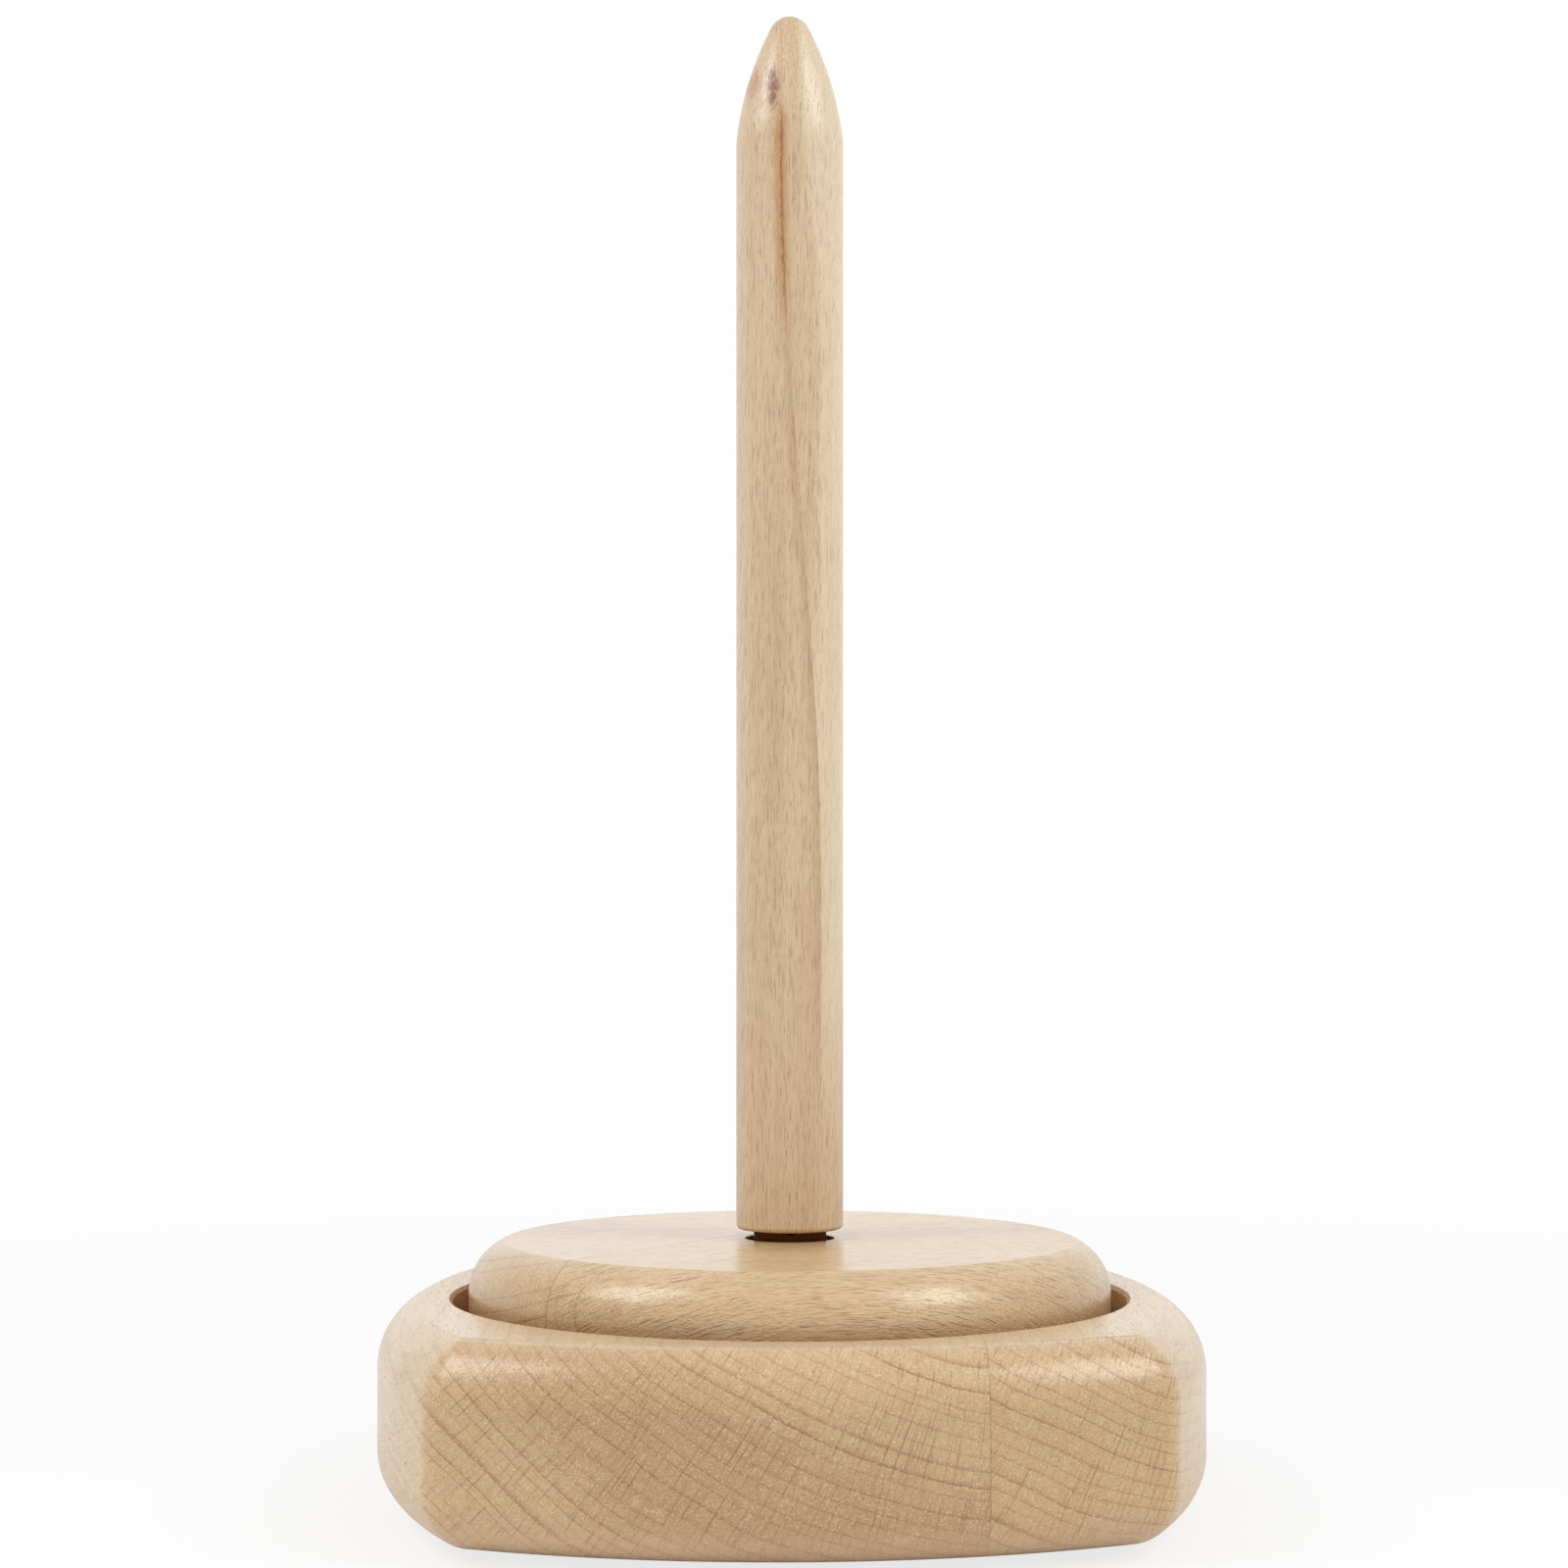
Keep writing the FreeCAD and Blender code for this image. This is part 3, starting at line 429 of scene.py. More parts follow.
# marks on the dowel's front, in mm: across and up
dowelMark = {
    "edgeLow": 4.05, "edgeHigh": -1.25, "edgeBend": (85, 185), "edgeSoft": 0.15,
    # light: the pale band on the right, partly paler wood and partly painted light from the
    # right
    "above": (45, 75), "light": shade(240, 222, 192), "paleUntil": (105, 135),
    "paleSideLow": 3.9, "paleSideHigh": 1.2, "paleSideBend": (160, 200),
    "paleSideSoft": (-0.4, 0.5), "paleSideShow": 0.85, "paleShow": 0.5,
    "dark": shade(168, 118, 72), "darkWide": 1.6, "darkShow": 0.3,
    "streak": (158, 172, 190.5, 194), "streakColour": shade(192, 134, 64),
    "streakLeft": 0.25, "streakHalf": (0.3, 1.45), "streakShow": (0.6, 0.35),
    "coreColour": shade(134, 74, 28), "coreLeft": 0.15, "coreHalf": (0.04, 0.28),
    "coreRagged": 0.8, "coreShow": (0.65, 0.3),
    "patch": (-5.2, 197.0, 1.7, 2.8), "patchColour": shade(182, 126, 78), "patchShow": 0.65,
    "knot": (-2.5, 195.6, 0.9, 4.2), "knotColour": shade(122, 56, 28), "knotShow": 0.92,
    "spotRagged": 1.3, "spotEdge": (0.25, 1.1),
}


def dowelMarks(wood, point, colour):
    mark = dowelMark
    side = wood.along(point, (1, 0, 0))
    level = wood.along(point, (0, 0, 1))
    front = wood.along(point, (0, -1, 0)).rise(-0.5, 0.5)
    above = level.rise(*mark["above"])
    blotch = wood.noise(point, (0.5, 0.5, 0.9))

    # one ring's edge runs from the streak down to the right, with paler wood beyond it; this
    # pale band and the paler right side are partly painted light from the right
    off = side - level.rise(*mark["edgeBend"], mark["edgeHigh"], mark["edgeLow"])
    pale = off.rise(0.0, mark["edgeSoft"]) * level.fall(*mark["paleUntil"])
    sideEdge = level.rise(*mark["paleSideBend"], mark["paleSideHigh"], mark["paleSideLow"])
    paleAndLitSide = (side - sideEdge).rise(*mark["paleSideSoft"]) * mark["paleSideShow"]
    dark = off.between(-mark["darkWide"], -0.05, 0.0, mark["edgeSoft"])

    # mineral streak, with a core
    span = level.between(*mark["streak"]) * front
    halo = (off + mark["streakLeft"]).size().fall(*mark["streakHalf"])
    haloMore, haloLeast = mark["streakShow"]
    ragged = (blotch - 0.5) * mark["coreRagged"]
    core = (off + mark["coreLeft"] + ragged).size().fall(*mark["coreHalf"])
    coreMore, coreLeast = mark["coreShow"]
    colour = wood.layers(
        colour,
        (pale.maths("MAXIMUM", paleAndLitSide) * above * mark["paleShow"], mark["light"]),
        (dark * above * mark["darkShow"], mark["dark"]),
        (span * halo * (blotch * haloMore + haloLeast), mark["streakColour"]),
        (span * core * (blotch * coreMore + coreLeast), mark["coreColour"]))

    # a brown patch, and on top of it the knot that the streak starts from
    for spot in ("patch", "knot"):
        atSide, atLevel, wide, tall = mark[spot]
        away = wood.length(wood.join((side - atSide) / wide, (level - atLevel) / tall, 0.0))
        edge = away + (blotch - 0.5) * mark["spotRagged"]
        shown = edge.fall(*mark["spotEdge"], mark[spot + "Show"]) * front
        colour = wood.mix(shown, colour, mark[spot + "Colour"])
    return colour


blockWideFinish = beechFinish("block beech, wide stave", blockWide)
blockNarrowFinish = beechFinish("block beech, narrow stave", blockNarrow)
discMainFinish = beechFinish("disc beech, main stave", discMain)
discSideFinish = beechFinish("disc beech, side stave", discSide)
dowelFinish = beechFinish("dowel beech", dowel, dowelMarks)
print("beech done")


# colour, worn colour, metal, lowest and highest roughness, mm of the cloudy tone,
# mm of the fine relief, its strength, marks of the lathe
finishes = {
    "bearing_steel": ((221, 221, 222), (188, 190, 194), 1.0, 0.12, 0.24, 3.0, 0.12, 0.15, 0.8),
    "shield_steel": ((203, 203, 205), (176, 176, 180), 1.0, 0.26, 0.42, 2.0, 0.2, 0.2, 0.5),
    "zinc_steel": ((206, 208, 210), (186, 184, 172), 1.0, 0.24, 0.46, 4.0, 0.16, 0.25, 0.25),
    "dark_steel": ((62, 33, 16), (88, 52, 27), 1.0, 0.4, 0.62, 1.6, 0.2, 0.3, 0.2),
    "insert_brass": ((224, 196, 140), (188, 146, 84), 1.0, 0.2, 0.4, 2.5, 0.15, 0.2, 0.8),
    "cage_nylon": ((228, 225, 214), (214, 207, 188), 0.0, 0.42, 0.58, 3.0, 0.3, 0.2, 0.0),
    "plug_plastic": ((173, 142, 108), (150, 116, 82), 0.0, 0.4, 0.56, 5.0, 0.22, 0.5, 0.1),
    "pad_rubber": ((88, 86, 84), (122, 117, 110), 0.0, 0.72, 0.9, 2.2, 0.35, 0.7, 0.0),
}
shopWear = {
    "patchEdge": (0.35, 0.7), "patchShow": 0.8, "grainEdge": (0.5, 0.75), "grainShow": 0.25,
    "latheMark": 0.09, "roughPatch": 0.6, "roughMarks": 0.4, "depth": 0.02,
}


def shopFinish(slot):
    wear = shopWear
    fresh, worn, metal, low, high, patchSize, grainSize, relief, turned = finishes[slot]
    fresh, worn = shade(*fresh), shade(*worn)
    stuff = Finish(slot.replace("_", " ") + " detailed", Metallic=metal, Coat_Roughness=0.3)
    point = stuff.point()
    patch = stuff.noise(point, (patchSize,) * 3, 3.0, 0.6).rise(*wear["patchEdge"])
    grain = stuff.noise(point, (grainSize,) * 3, 2.0, 0.6)
    turning = stuff.join(stuff.reach(point) / wear["latheMark"],
                         stuff.along(point, (0, 0, 1)) / wear["latheMark"], 0.0)
    marks = stuff.noise(turning, None, 2.0, 0.6)
    stuff.set(Base_Color=stuff.layers(
        fresh,
        (patch * wear["patchShow"], worn),
        (grain.rise(*wear["grainEdge"], wear["grainShow"]), worn)))
    uneven = patch * wear["roughPatch"] + marks * wear["roughMarks"]
    stuff.set(Roughness=uneven.rise(0.1, 0.9, high, low))
    stuff.set(Normal=stuff.bump(grain + marks * turned, relief, wear["depth"] * mm))
    return stuff


shopFinishes = {slot: shopFinish(slot) for slot in finishes}
print("shop finishes done")


def choose(piece):
    bpy.ops.object.select_all(action="DESELECT")
    piece.select_set(True)
    bpy.context.view_layer.objects.active = piece


def call(piece, name):
    piece.name = piece.data.name = name
    return piece


def addCylinder(name, radius, low, high, sides=96, at=(0, 0)):
    bpy.ops.mesh.primitive_cylinder_add(
        vertices=sides, radius=radius * mm, depth=(high - low) * mm,
        location=(at[0] * mm, at[1] * mm, (low + high) / 2 * mm))
    bpy.ops.object.transform_apply()
    return call(bpy.context.object, name)


def addUprightPlane(name, size, across, level):
    # on the plane through the axis that faces the front
    bpy.ops.mesh.primitive_plane_add(size=size * mm, rotation=(math.radians(90), 0, 0),
                                     location=(across * mm, 0, level * mm))
    bpy.ops.object.transform_apply()
    return call(bpy.context.object, name)


def openEdit(piece):
    choose(piece)
    bpy.ops.object.mode_set(mode="EDIT")


def closeEdit():
    bpy.ops.mesh.select_all(action="SELECT")
    bpy.ops.mesh.normals_make_consistent(inside=False)
    bpy.ops.object.mode_set(mode="OBJECT")


def pick(kind, test):
    bpy.ops.mesh.select_mode(type=kind)
    bpy.ops.mesh.select_all(action="DESELECT")
    mesh = bmesh.from_edit_mesh(bpy.context.object.data)
    for part in {"VERT": mesh.verts, "EDGE": mesh.edges, "FACE": mesh.faces}[kind]:
        if test(part):
            part.select_set(True)
    mesh.select_flush_mode()
    bmesh.update_edit_mesh(bpy.context.object.data)


# how near a level or a radius has to be, in mm
nearLevel, nearRadius = 0.004, 0.03


def capAt(level, within=1000):
    return lambda face: all(
        abs(vert.co.z / mm - level) < nearLevel and vert.co.xy.length / mm < within
        for vert in face.verts)


def rimAt(level, radius=None):
    return lambda edge: all(
        abs(vert.co.z / mm - level) < nearLevel
        and (radius is None or abs(vert.co.xy.length / mm - radius) < nearRadius)
        for vert in edge.verts)


def pull(rise):
    bpy.ops.mesh.extrude_region_move(TRANSFORM_OT_translate={"value": (0, 0, rise * mm)})


def widen(factor):
    bpy.ops.transform.resize(value=(factor, factor, 1), center_override=(0, 0, 0))


def climb(radius, level, rings):
    # carries a picked cap on through rings of a radius and a level
    for nextRadius, nextLevel in rings:
        pull(nextLevel - level)
        widen(nextRadius / radius)
        radius, level = nextRadius, nextLevel


def throughHole(radius, low, high):
    # joins the small caps at two levels into a bore
    lower, upper = capAt(low, radius + 0.1), capAt(high, radius + 0.1)
    pick("FACE", lambda face: lower(face) or upper(face))
    bpy.ops.mesh.bridge_edge_loops()


def inset(width, rise=0):
    bpy.ops.mesh.inset(thickness=width * mm, depth=rise * mm)


def bevel(width, segments):
    bpy.ops.mesh.bevel(offset=width * mm, segments=segments, affect="EDGES")


def cutBeyond(at, facing, keepInner=True):
    bpy.ops.mesh.select_all(action="SELECT")
    bpy.ops.mesh.bisect(plane_co=at, plane_no=facing, use_fill=True, threshold=0.001 * mm,
                        clear_outer=keepInner, clear_inner=not keepInner)


def useModifier(piece, kind, **settings):
    choose(piece)
    modifier = piece.modifiers.new(kind.lower(), kind)
    for name, value in settings.items():
        setattr(modifier, name, value)
    bpy.ops.object.modifier_apply(modifier=modifier.name)


def smooth(piece, degrees=30):
    choose(piece)
    bpy.ops.object.shade_smooth_by_angle(angle=math.radians(degrees))
    useModifier(piece, "WEIGHTED_NORMAL", keep_sharp=True, weight=60)


def duplicate(piece, name):
    choose(piece)
    bpy.ops.object.duplicate()
    return call(bpy.context.object, name)


def join(name, first, *others):
    choose(first)
    for piece in others:
        piece.select_set(True)
    bpy.ops.object.join()
    return call(first, name)


def drop(piece):
    choose(piece)
    bpy.ops.object.delete()


def carve(piece, tool, operation="DIFFERENCE", **settings):
    useModifier(piece, "BOOLEAN", operation=operation, object=tool, solver="EXACT", **settings)
    drop(tool)


remodelled = []


def mount(piece, node, body, slot, finish=None):
    # the shop finish of the slot, unless the piece has its own
    (finish or shopFinishes[slot]).giveTo(piece)
    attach(piece, body)
    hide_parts(node)
    remodelled.append(node)


def split(piece, names, seam):
    # both staves are cut from the whole piece, each on its side of the glue line
    staves = []
    for name, keepInner in zip(names, (True, False)):
        stave = duplicate(piece, name)
        openEdit(stave)
        cutBeyond(Vector(seam["facing"]) * (seam["at"] * mm), seam["facing"], keepInner)
        closeEdit()
        smooth(stave)
        staves.append(stave)
    drop(piece)
    return staves


blockShape = {
    "width": 114.0, "cornerSpan": 93.0, "cornerRound": 6.0, "bottom": 1.5, "top": 28.1,
    "topRound": 8.9, "planing": 0.7, "footRound": 7.4, "sideSteps": 44, "cornerSteps": 10,
    "topSteps": 11, "footSteps": 12, "cornerGone": 5.6, "cornerMerge": 0.35,
    "recessRadius": 47.0, "recessFloor": 17.1, "rimChamfer": 0.5,
    "pocketRadius": 9.52, "pocketFloor": 11.1, "boreRadius": 7.0,
    "screwRadius": 1.52, "screwCircle": 13.0, "screwHoleBottom": 7.6,
}


def chainArc(quarter, distance, degrees, steps):
    # carries the chain of edges on round a middle that lies out on a quarter
    x, y = quarter
    bpy.ops.mesh.spin(steps=steps, angle=math.radians(degrees),
                      center=(x * distance * mm, y * distance * mm, 0), axis=(0, 0, -1))


def roundOver(radius, finish, steps):
    # the cutter's quarter round, laid on as a run of insets
    gone = rise = 0.0
    for step in range(1, steps + 1):
        angle = math.radians(finish * step / steps)
        nextGone, nextRise = radius * (1 - math.cos(angle)), radius * math.sin(angle)
        inset(nextGone - gone, nextRise - rise)
        gone, rise = nextGone, nextRise
        if gone > blockShape["cornerGone"]:  # the corner's own round is used up
            bpy.ops.mesh.remove_doubles(threshold=blockShape["cornerMerge"] * mm,
                                        use_unselected=False)


def buildBlock():
    shape = blockShape
    corner, bow = shape["cornerSpan"] / 2, (shape["width"] - shape["cornerSpan"]) / 2
    sideRadius = (corner ** 2 + bow ** 2) / (2 * bow)
    sideMiddle = sideRadius - shape["width"] / 2
    inner = sideRadius - shape["cornerRound"]
    cornerMiddle = (-sideMiddle + math.sqrt(2 * inner ** 2 - sideMiddle ** 2)) / 2
    sideTurn = math.degrees(math.asin(cornerMiddle / inner))

    # the outline, as one point carried round by four sides and four corners
    bpy.ops.mesh.primitive_plane_add(size=mm, location=(0, 0, 0))
    block = bpy.context.object
    openEdit(block)
    bpy.ops.mesh.select_all(action="SELECT")
    bpy.ops.mesh.merge(type="CENTER")
    start = Vector((-sideRadius * math.sin(math.radians(sideTurn)),
                    sideMiddle - sideRadius * math.cos(math.radians(sideTurn)),
                    shape["bottom"] + shape["footRound"]))
    bpy.ops.transform.translate(value=start * mm)
    for sideAt, cornerAt in (((0, 1), (1, -1)), ((-1, 0), (1, 1)),
                             ((0, -1), (-1, 1)), ((1, 0), (-1, -1))):
        chainArc(sideAt, sideMiddle, 2 * sideTurn, shape["sideSteps"])
        chainArc(cornerAt, cornerMiddle, 90 - 2 * sideTurn, shape["cornerSteps"])
    bpy.ops.mesh.select_all(action="SELECT")
    bpy.ops.mesh.remove_doubles(threshold=0.01 * mm)
    bpy.ops.mesh.edge_face_add()
    wallTop = shape["top"] + shape["planing"] - shape["topRound"]
    pull(wallTop - start.z)
    closeEdit()

    openEdit(block)
    pick("FACE", capAt(wallTop))
    planed = math.degrees(math.asin((shape["topRound"] - shape["planing"]) / shape["topRound"]))
    roundOver(shape["topRound"], planed, shape["topSteps"])
    pick("FACE", capAt(start.z))
    roundOver(shape["footRound"], 90, shape["footSteps"])
    closeEdit()

    # one cutter for the recess with its rim, the pocket, the bore and the screw holes
    rim, mouth = shape["top"] - shape["rimChamfer"], shape["recessRadius"] + shape["rimChamfer"]
    cutter = addCylinder("cutter", shape["recessRadius"], shape["recessFloor"], rim, 192)
    openEdit(cutter)
    pick("FACE", capAt(rim))
    climb(shape["recessRadius"], rim, [(mouth, shape["top"]), (mouth, shape["top"] + 3)])
    pick("FACE", capAt(shape["recessFloor"]))
    inset(shape["recessRadius"] - shape["pocketRadius"])
    pull(shape["pocketFloor"] - shape["recessFloor"])
    inset(shape["pocketRadius"] - shape["boreRadius"])
    pull(-shape["pocketFloor"])
    closeEdit()
    out = shape["screwCircle"]
    holes = [addCylinder("hole", shape["screwRadius"], shape["screwHoleBottom"],
                         shape["recessFloor"] + 1, 32, at)
             for at in ((out, 0), (0, out), (-out, 0), (0, -out))]
    carve(block, join("cutter", cutter, *holes), use_self=True)
    wide, narrow = split(block, ("block_wide_stave", "block_narrow_stave"), blockSeam)
    mount(wide, "base_wide_stave", "base", "block_beech", blockWideFinish)
    mount(narrow, "base_narrow_stave", "base", "block_beech", blockNarrowFinish)


buildBlock()
print("block done")


discShape = {
    "radius": 44.8, "bottom": 18.9, "top": 35.9, "topRound": 7.7, "planing": 0.5,
    "footChamfer": 1.0, "seatRadius": 12.3, "seatDepth": 1.3, "recessRadius": 6.2735,
    "recessBottom": 29.0, "boltHole": 3.3, "sides": 192, "topSteps": 16, "wear": 0.12,
}


def buildDisc():
    shape = discShape
    roughTop = shape["top"] + shape["planing"]
    disc = addCylinder("disc", shape["radius"], shape["bottom"], roughTop, shape["sides"])
    openEdit(disc)
    pick("EDGE", rimAt(roughTop))
    bevel(shape["topRound"], shape["topSteps"])
    pick("EDGE", rimAt(shape["bottom"]))
    bevel(shape["footChamfer"], 1)
    cutBeyond((0, 0, shape["top"] * mm), (0, 0, 1))
    height = shape["topRound"] - shape["planing"]
    flat = shape["radius"] - shape["topRound"] + math.sqrt(shape["topRound"] ** 2 - height ** 2)
    foot = shape["radius"] - shape["footChamfer"]
    pick("FACE", capAt(shape["top"]))
    inset(flat - shape["recessRadius"])
    pull(shape["recessBottom"] - shape["top"])
    inset(shape["recessRadius"] - shape["boltHole"])
    pick("FACE", capAt(shape["bottom"]))
    inset(foot - shape["seatRadius"])
    pull(shape["seatDepth"])
    inset(shape["seatRadius"] - shape["boltHole"])
    throughHole(shape["boltHole"], shape["bottom"] + shape["seatDepth"], shape["recessBottom"])
    # the crease of the planed top and the other arrises are worn a little
    for level, radius in ((shape["top"], flat), (shape["top"], shape["recessRadius"]),
                          (shape["bottom"], foot), (shape["bottom"], shape["seatRadius"])):
        pick("EDGE", rimAt(level, radius))
        bevel(shape["wear"], 2)
    closeEdit()
    side, main = split(disc, ("disc_side", "disc_main"), discSeam)
    mount(main, "disc_main_stave", "turntable", "disc_beech", discMainFinish)
    mount(side, "disc_side_stave", "turntable", "disc_beech", discSideFinish)


buildDisc()
print("disc done")


spindleShape = {
    "radius": 7.5, "foot": 37.2, "shoulder": 189.7, "tip": 207.2, "tipRound": 3.0,
    "flank": 46.0, "flankSteps": 12, "tipSteps": 8, "tipUntil": 86, "shoulderRound": 0.8,
    "footRound": 0.7, "socketRadius": 4.52, "socketDepth": 15.0,
}


def arc(middle, radius, first, last, steps):
    # rings of a radius and a level along an arc, without its first point
    turns = [first + (last - first) * step / steps for step in range(1, steps + 1)]
    return [(middle[0] + radius * math.cos(turn), middle[1] + radius * math.sin(turn))
            for turn in turns]


def tipRings(shape):
    # the bowed flank, then the blunt point
    blunt = shape["tip"] - shape["tipRound"]
    reach = math.hypot(shape["radius"], blunt - shape["shoulder"])
    lean = math.atan2(blunt - shape["shoulder"], shape["radius"])
    flank, gap = shape["flank"], shape["flank"] - shape["tipRound"]
    first = math.acos((flank ** 2 + reach ** 2 - gap ** 2) / (2 * flank * reach)) - lean
    middle = (shape["radius"] - flank * math.cos(first),
              shape["shoulder"] - flank * math.sin(first))
    last = math.atan2(blunt - middle[1], -middle[0])
    return (arc(middle, flank, first, last, shape["flankSteps"])
            + arc((0, blunt), shape["tipRound"], last, math.radians(shape["tipUntil"]),
                  shape["tipSteps"]))


def buildSpindle():
    shape = spindleShape
    spindle = addCylinder("spindle_dowel", shape["radius"], shape["foot"], shape["shoulder"])
    openEdit(spindle)
    pick("FACE", capAt(shape["shoulder"]))
    rings = tipRings(shape)
    climb(shape["radius"], shape["shoulder"], rings)
    pull(shape["tip"] - rings[-1][1])
    bpy.ops.mesh.merge(type="CENTER")
    pick("EDGE", rimAt(shape["shoulder"]))
    bevel(shape["shoulderRound"], 3)
    pick("EDGE", rimAt(shape["foot"]))
    bevel(shape["footRound"], 5)
    pick("FACE", capAt(shape["foot"]))
    inset(shape["radius"] - shape["footRound"] - shape["socketRadius"])
    pull(shape["socketDepth"])
    closeEdit()
    smooth(spindle)
    mount(spindle, "spindle", "turntable", "spindle_beech", dowelFinish)


buildSpindle()
print("spindle done")


# degrees beyond which an edge of metal stays sharp
metalEdge = 25


def hexagon(name, flats, low, high, topTurned=True):
    # a bar with its corners turned off in a cone; it and the barrel end at different
    # levels, so that no faces of the cut share a plane
    corner = flats / math.cos(math.radians(30))
    depth = (corner - flats) * math.tan(math.radians(30))
    clear, past = 0.02, 1.0
    bar = addCylinder(name, corner, low - past, high + past if topTurned else high, 6)
    barrel = addCylinder("barrel", corner + clear, low + depth, high - depth, 72)
    openEdit(barrel)
    pick("FACE", capAt(low + depth))
    climb(corner + clear, low + depth, [(flats - clear, low)])
    pick("FACE", capAt(high - depth))
    climb(corner + clear, high - depth,
          [(flats - clear, high) if topTurned else (corner + clear, high + past)])
    closeEdit()
    carve(bar, barrel, "INTERSECT")
    return bar


def threadRidge(root, crest, pitch, low, turns, steps):
    # one tooth, a little narrower than the pitch and sunk in the root, wound round the axis
    wide, sunk = pitch * 0.9, 0.08
    ridge = addUprightPlane("ridge", wide, root, low + pitch / 2)
    openEdit(ridge)
    pick("VERT", lambda vert: vert.co.x / mm > root)
    bpy.ops.mesh.merge(type="CENTER")
    bpy.ops.transform.translate(value=((crest - root - wide / 2) * mm, 0, 0))
    pick("VERT", lambda vert: vert.co.x / mm < root)
    bpy.ops.transform.translate(value=((wide / 2 - sunk) * mm, 0, 0))
    bpy.ops.mesh.select_all(action="SELECT")
    bpy.ops.mesh.delete(type="ONLY_FACE")
    bpy.ops.object.mode_set(mode="OBJECT")
    useModifier(ridge, "SCREW", axis="Z", screw_offset=pitch * mm, iterations=turns,
                steps=steps, render_steps=steps, use_merge_vertices=False)
    openEdit(ridge)
    bpy.ops.mesh.select_all(action="SELECT")
    bpy.ops.mesh.fill_holes(sides=3)
    closeEdit()
    return ridge


nutShape = {"low": 32.2, "high": 37.2, "flats": 5.0, "thread": 3.02, "sink": 3.4,
            "sinkDepth": 0.4}


def buildNut():
    shape = nutShape
    low, high, deep = shape["low"], shape["high"], shape["sinkDepth"]
    nut = hexagon("clamp_nut_hex", shape["flats"], low, high)
    drill = addCylinder("drill", shape["thread"], low + deep, high - deep, 48)
    openEdit(drill)
    for level, end, beyond in ((low + deep, low, low - 1), (high - deep, high, high + 1)):
        pick("FACE", capAt(level))
        climb(shape["thread"], level, [(shape["sink"], end), (shape["sink"], beyond)])
    closeEdit()
    carve(nut, drill)
    smooth(nut, metalEdge)
    mount(nut, "clamp_nut", "turntable", "dark_steel")


boltShape = {
    "headLow": 6.1, "headHigh": 10.1, "flats": 5.0, "end": 50.1, "neck": 13.5, "shank": 3.0,
    "root": 2.45, "pitch": 1.0, "plain": 0.4, "threadFrom": 13.6, "pointTaper": 0.35,
}


def buildBolt():
    shape = boltShape
    head = hexagon("axle_bolt_threaded", shape["flats"], shape["headLow"], shape["headHigh"],
                   topTurned=False)
    neck, end, root, plain = shape["neck"], shape["end"], shape["root"], shape["plain"]
    shank = addCylinder("shank", shape["shank"], shape["headHigh"] - 1, neck, 48)
    openEdit(shank)
    pick("FACE", capAt(neck))
    climb(shape["shank"], neck,
          [(root, neck + plain), (root, end - plain), (root - shape["pointTaper"], end)])
    closeEdit()
    turns = int((end - neck - 2 * plain) / shape["pitch"])
    ridge = threadRidge(root, shape["shank"], shape["pitch"], shape["threadFrom"], turns, 20)
    bolt = join("axle_bolt_threaded", head, shank, ridge)
    smooth(bolt, metalEdge)
    mount(bolt, "axle_bolt", "turntable", "zinc_steel")


springWasherShape = {"inner": 3.2, "outer": 5.97, "low": 30.6, "high": 32.2, "gap": 0.9,
                     "arris": 0.12, "steps": 72}


def buildSpringWasher():
    shape = springWasherShape
    height, wide = shape["high"] - shape["low"], shape["outer"] - shape["inner"]
    middle = (shape["inner"] + shape["outer"]) / 2
    washer = addUprightPlane("spring_washer_split", height, middle, shape["low"] + height / 2)
    openEdit(washer)
    bpy.ops.mesh.select_all(action="SELECT")
    bpy.ops.transform.resize(value=(wide / height, 1, 1), center_override=(middle * mm, 0, 0))
    opening = 2 * math.asin(shape["gap"] / 2 / middle)
    bpy.ops.mesh.spin(steps=shape["steps"], angle=math.tau - opening, center=(0, 0, 0),
                      axis=(0, 0, -1))
    closeEdit()
    washer.rotation_euler = (0, 0, math.radians(90) + opening / 2)  # the gap looks forward
    bpy.ops.object.transform_apply()
    useModifier(washer, "BEVEL", width=shape["arris"] * mm, segments=2, limit_method="ANGLE",
                angle_limit=math.radians(40))
    smooth(washer, 35)
    mount(washer, "spring_washer", "turntable", "dark_steel")


insertShape = {
    "foot": 37.2, "length": 12.0, "bore": 3.02, "ridge": 4.5, "groove": 4.0, "step": 2.4,
    "barbs": 4, "footChamfer": 0.2, "grooveEdge": 0.05, "ridgeTaper": 0.18,
    "endLead": 0.3, "endTaper": 0.45,
}


def buildInsert():
    shape = insertShape
    foot, ridge, groove, step = shape["foot"], shape["ridge"], shape["groove"], shape["step"]
    chamfer, edge, worn = shape["footChamfer"], shape["grooveEdge"], ridge - shape["ridgeTaper"]
    end, endRadius = foot + shape["length"], ridge - shape["endTaper"]
    sleeve = addCylinder("spindle_insert_barbed", ridge - chamfer, foot, foot + chamfer, 64)
    openEdit(sleeve)
    pick("FACE", capAt(foot + chamfer))
    rings = [(ridge, foot + 2 * chamfer), (ridge, foot + step / 2)]
    for barb in range(1, shape["barbs"] + 1):
        # each barb is sharp towards the foot and runs out towards the socket's end
        start = foot + barb * step
        rings += [(groove, start - step / 2 + edge), (groove, start - edge),
                  (ridge, start), (worn, start + step / 2)]
    rings += [(worn, end - shape["endLead"]), (endRadius, end)]
    climb(ridge - chamfer, foot + chamfer, rings)
    inset(endRadius - shape["bore"])
    pick("FACE", capAt(foot))
    inset(ridge - chamfer - shape["bore"])
    throughHole(shape["bore"], foot, end)
    closeEdit()
    smooth(sleeve, metalEdge)
    mount(sleeve, "spindle_insert", "turntable", "insert_brass")


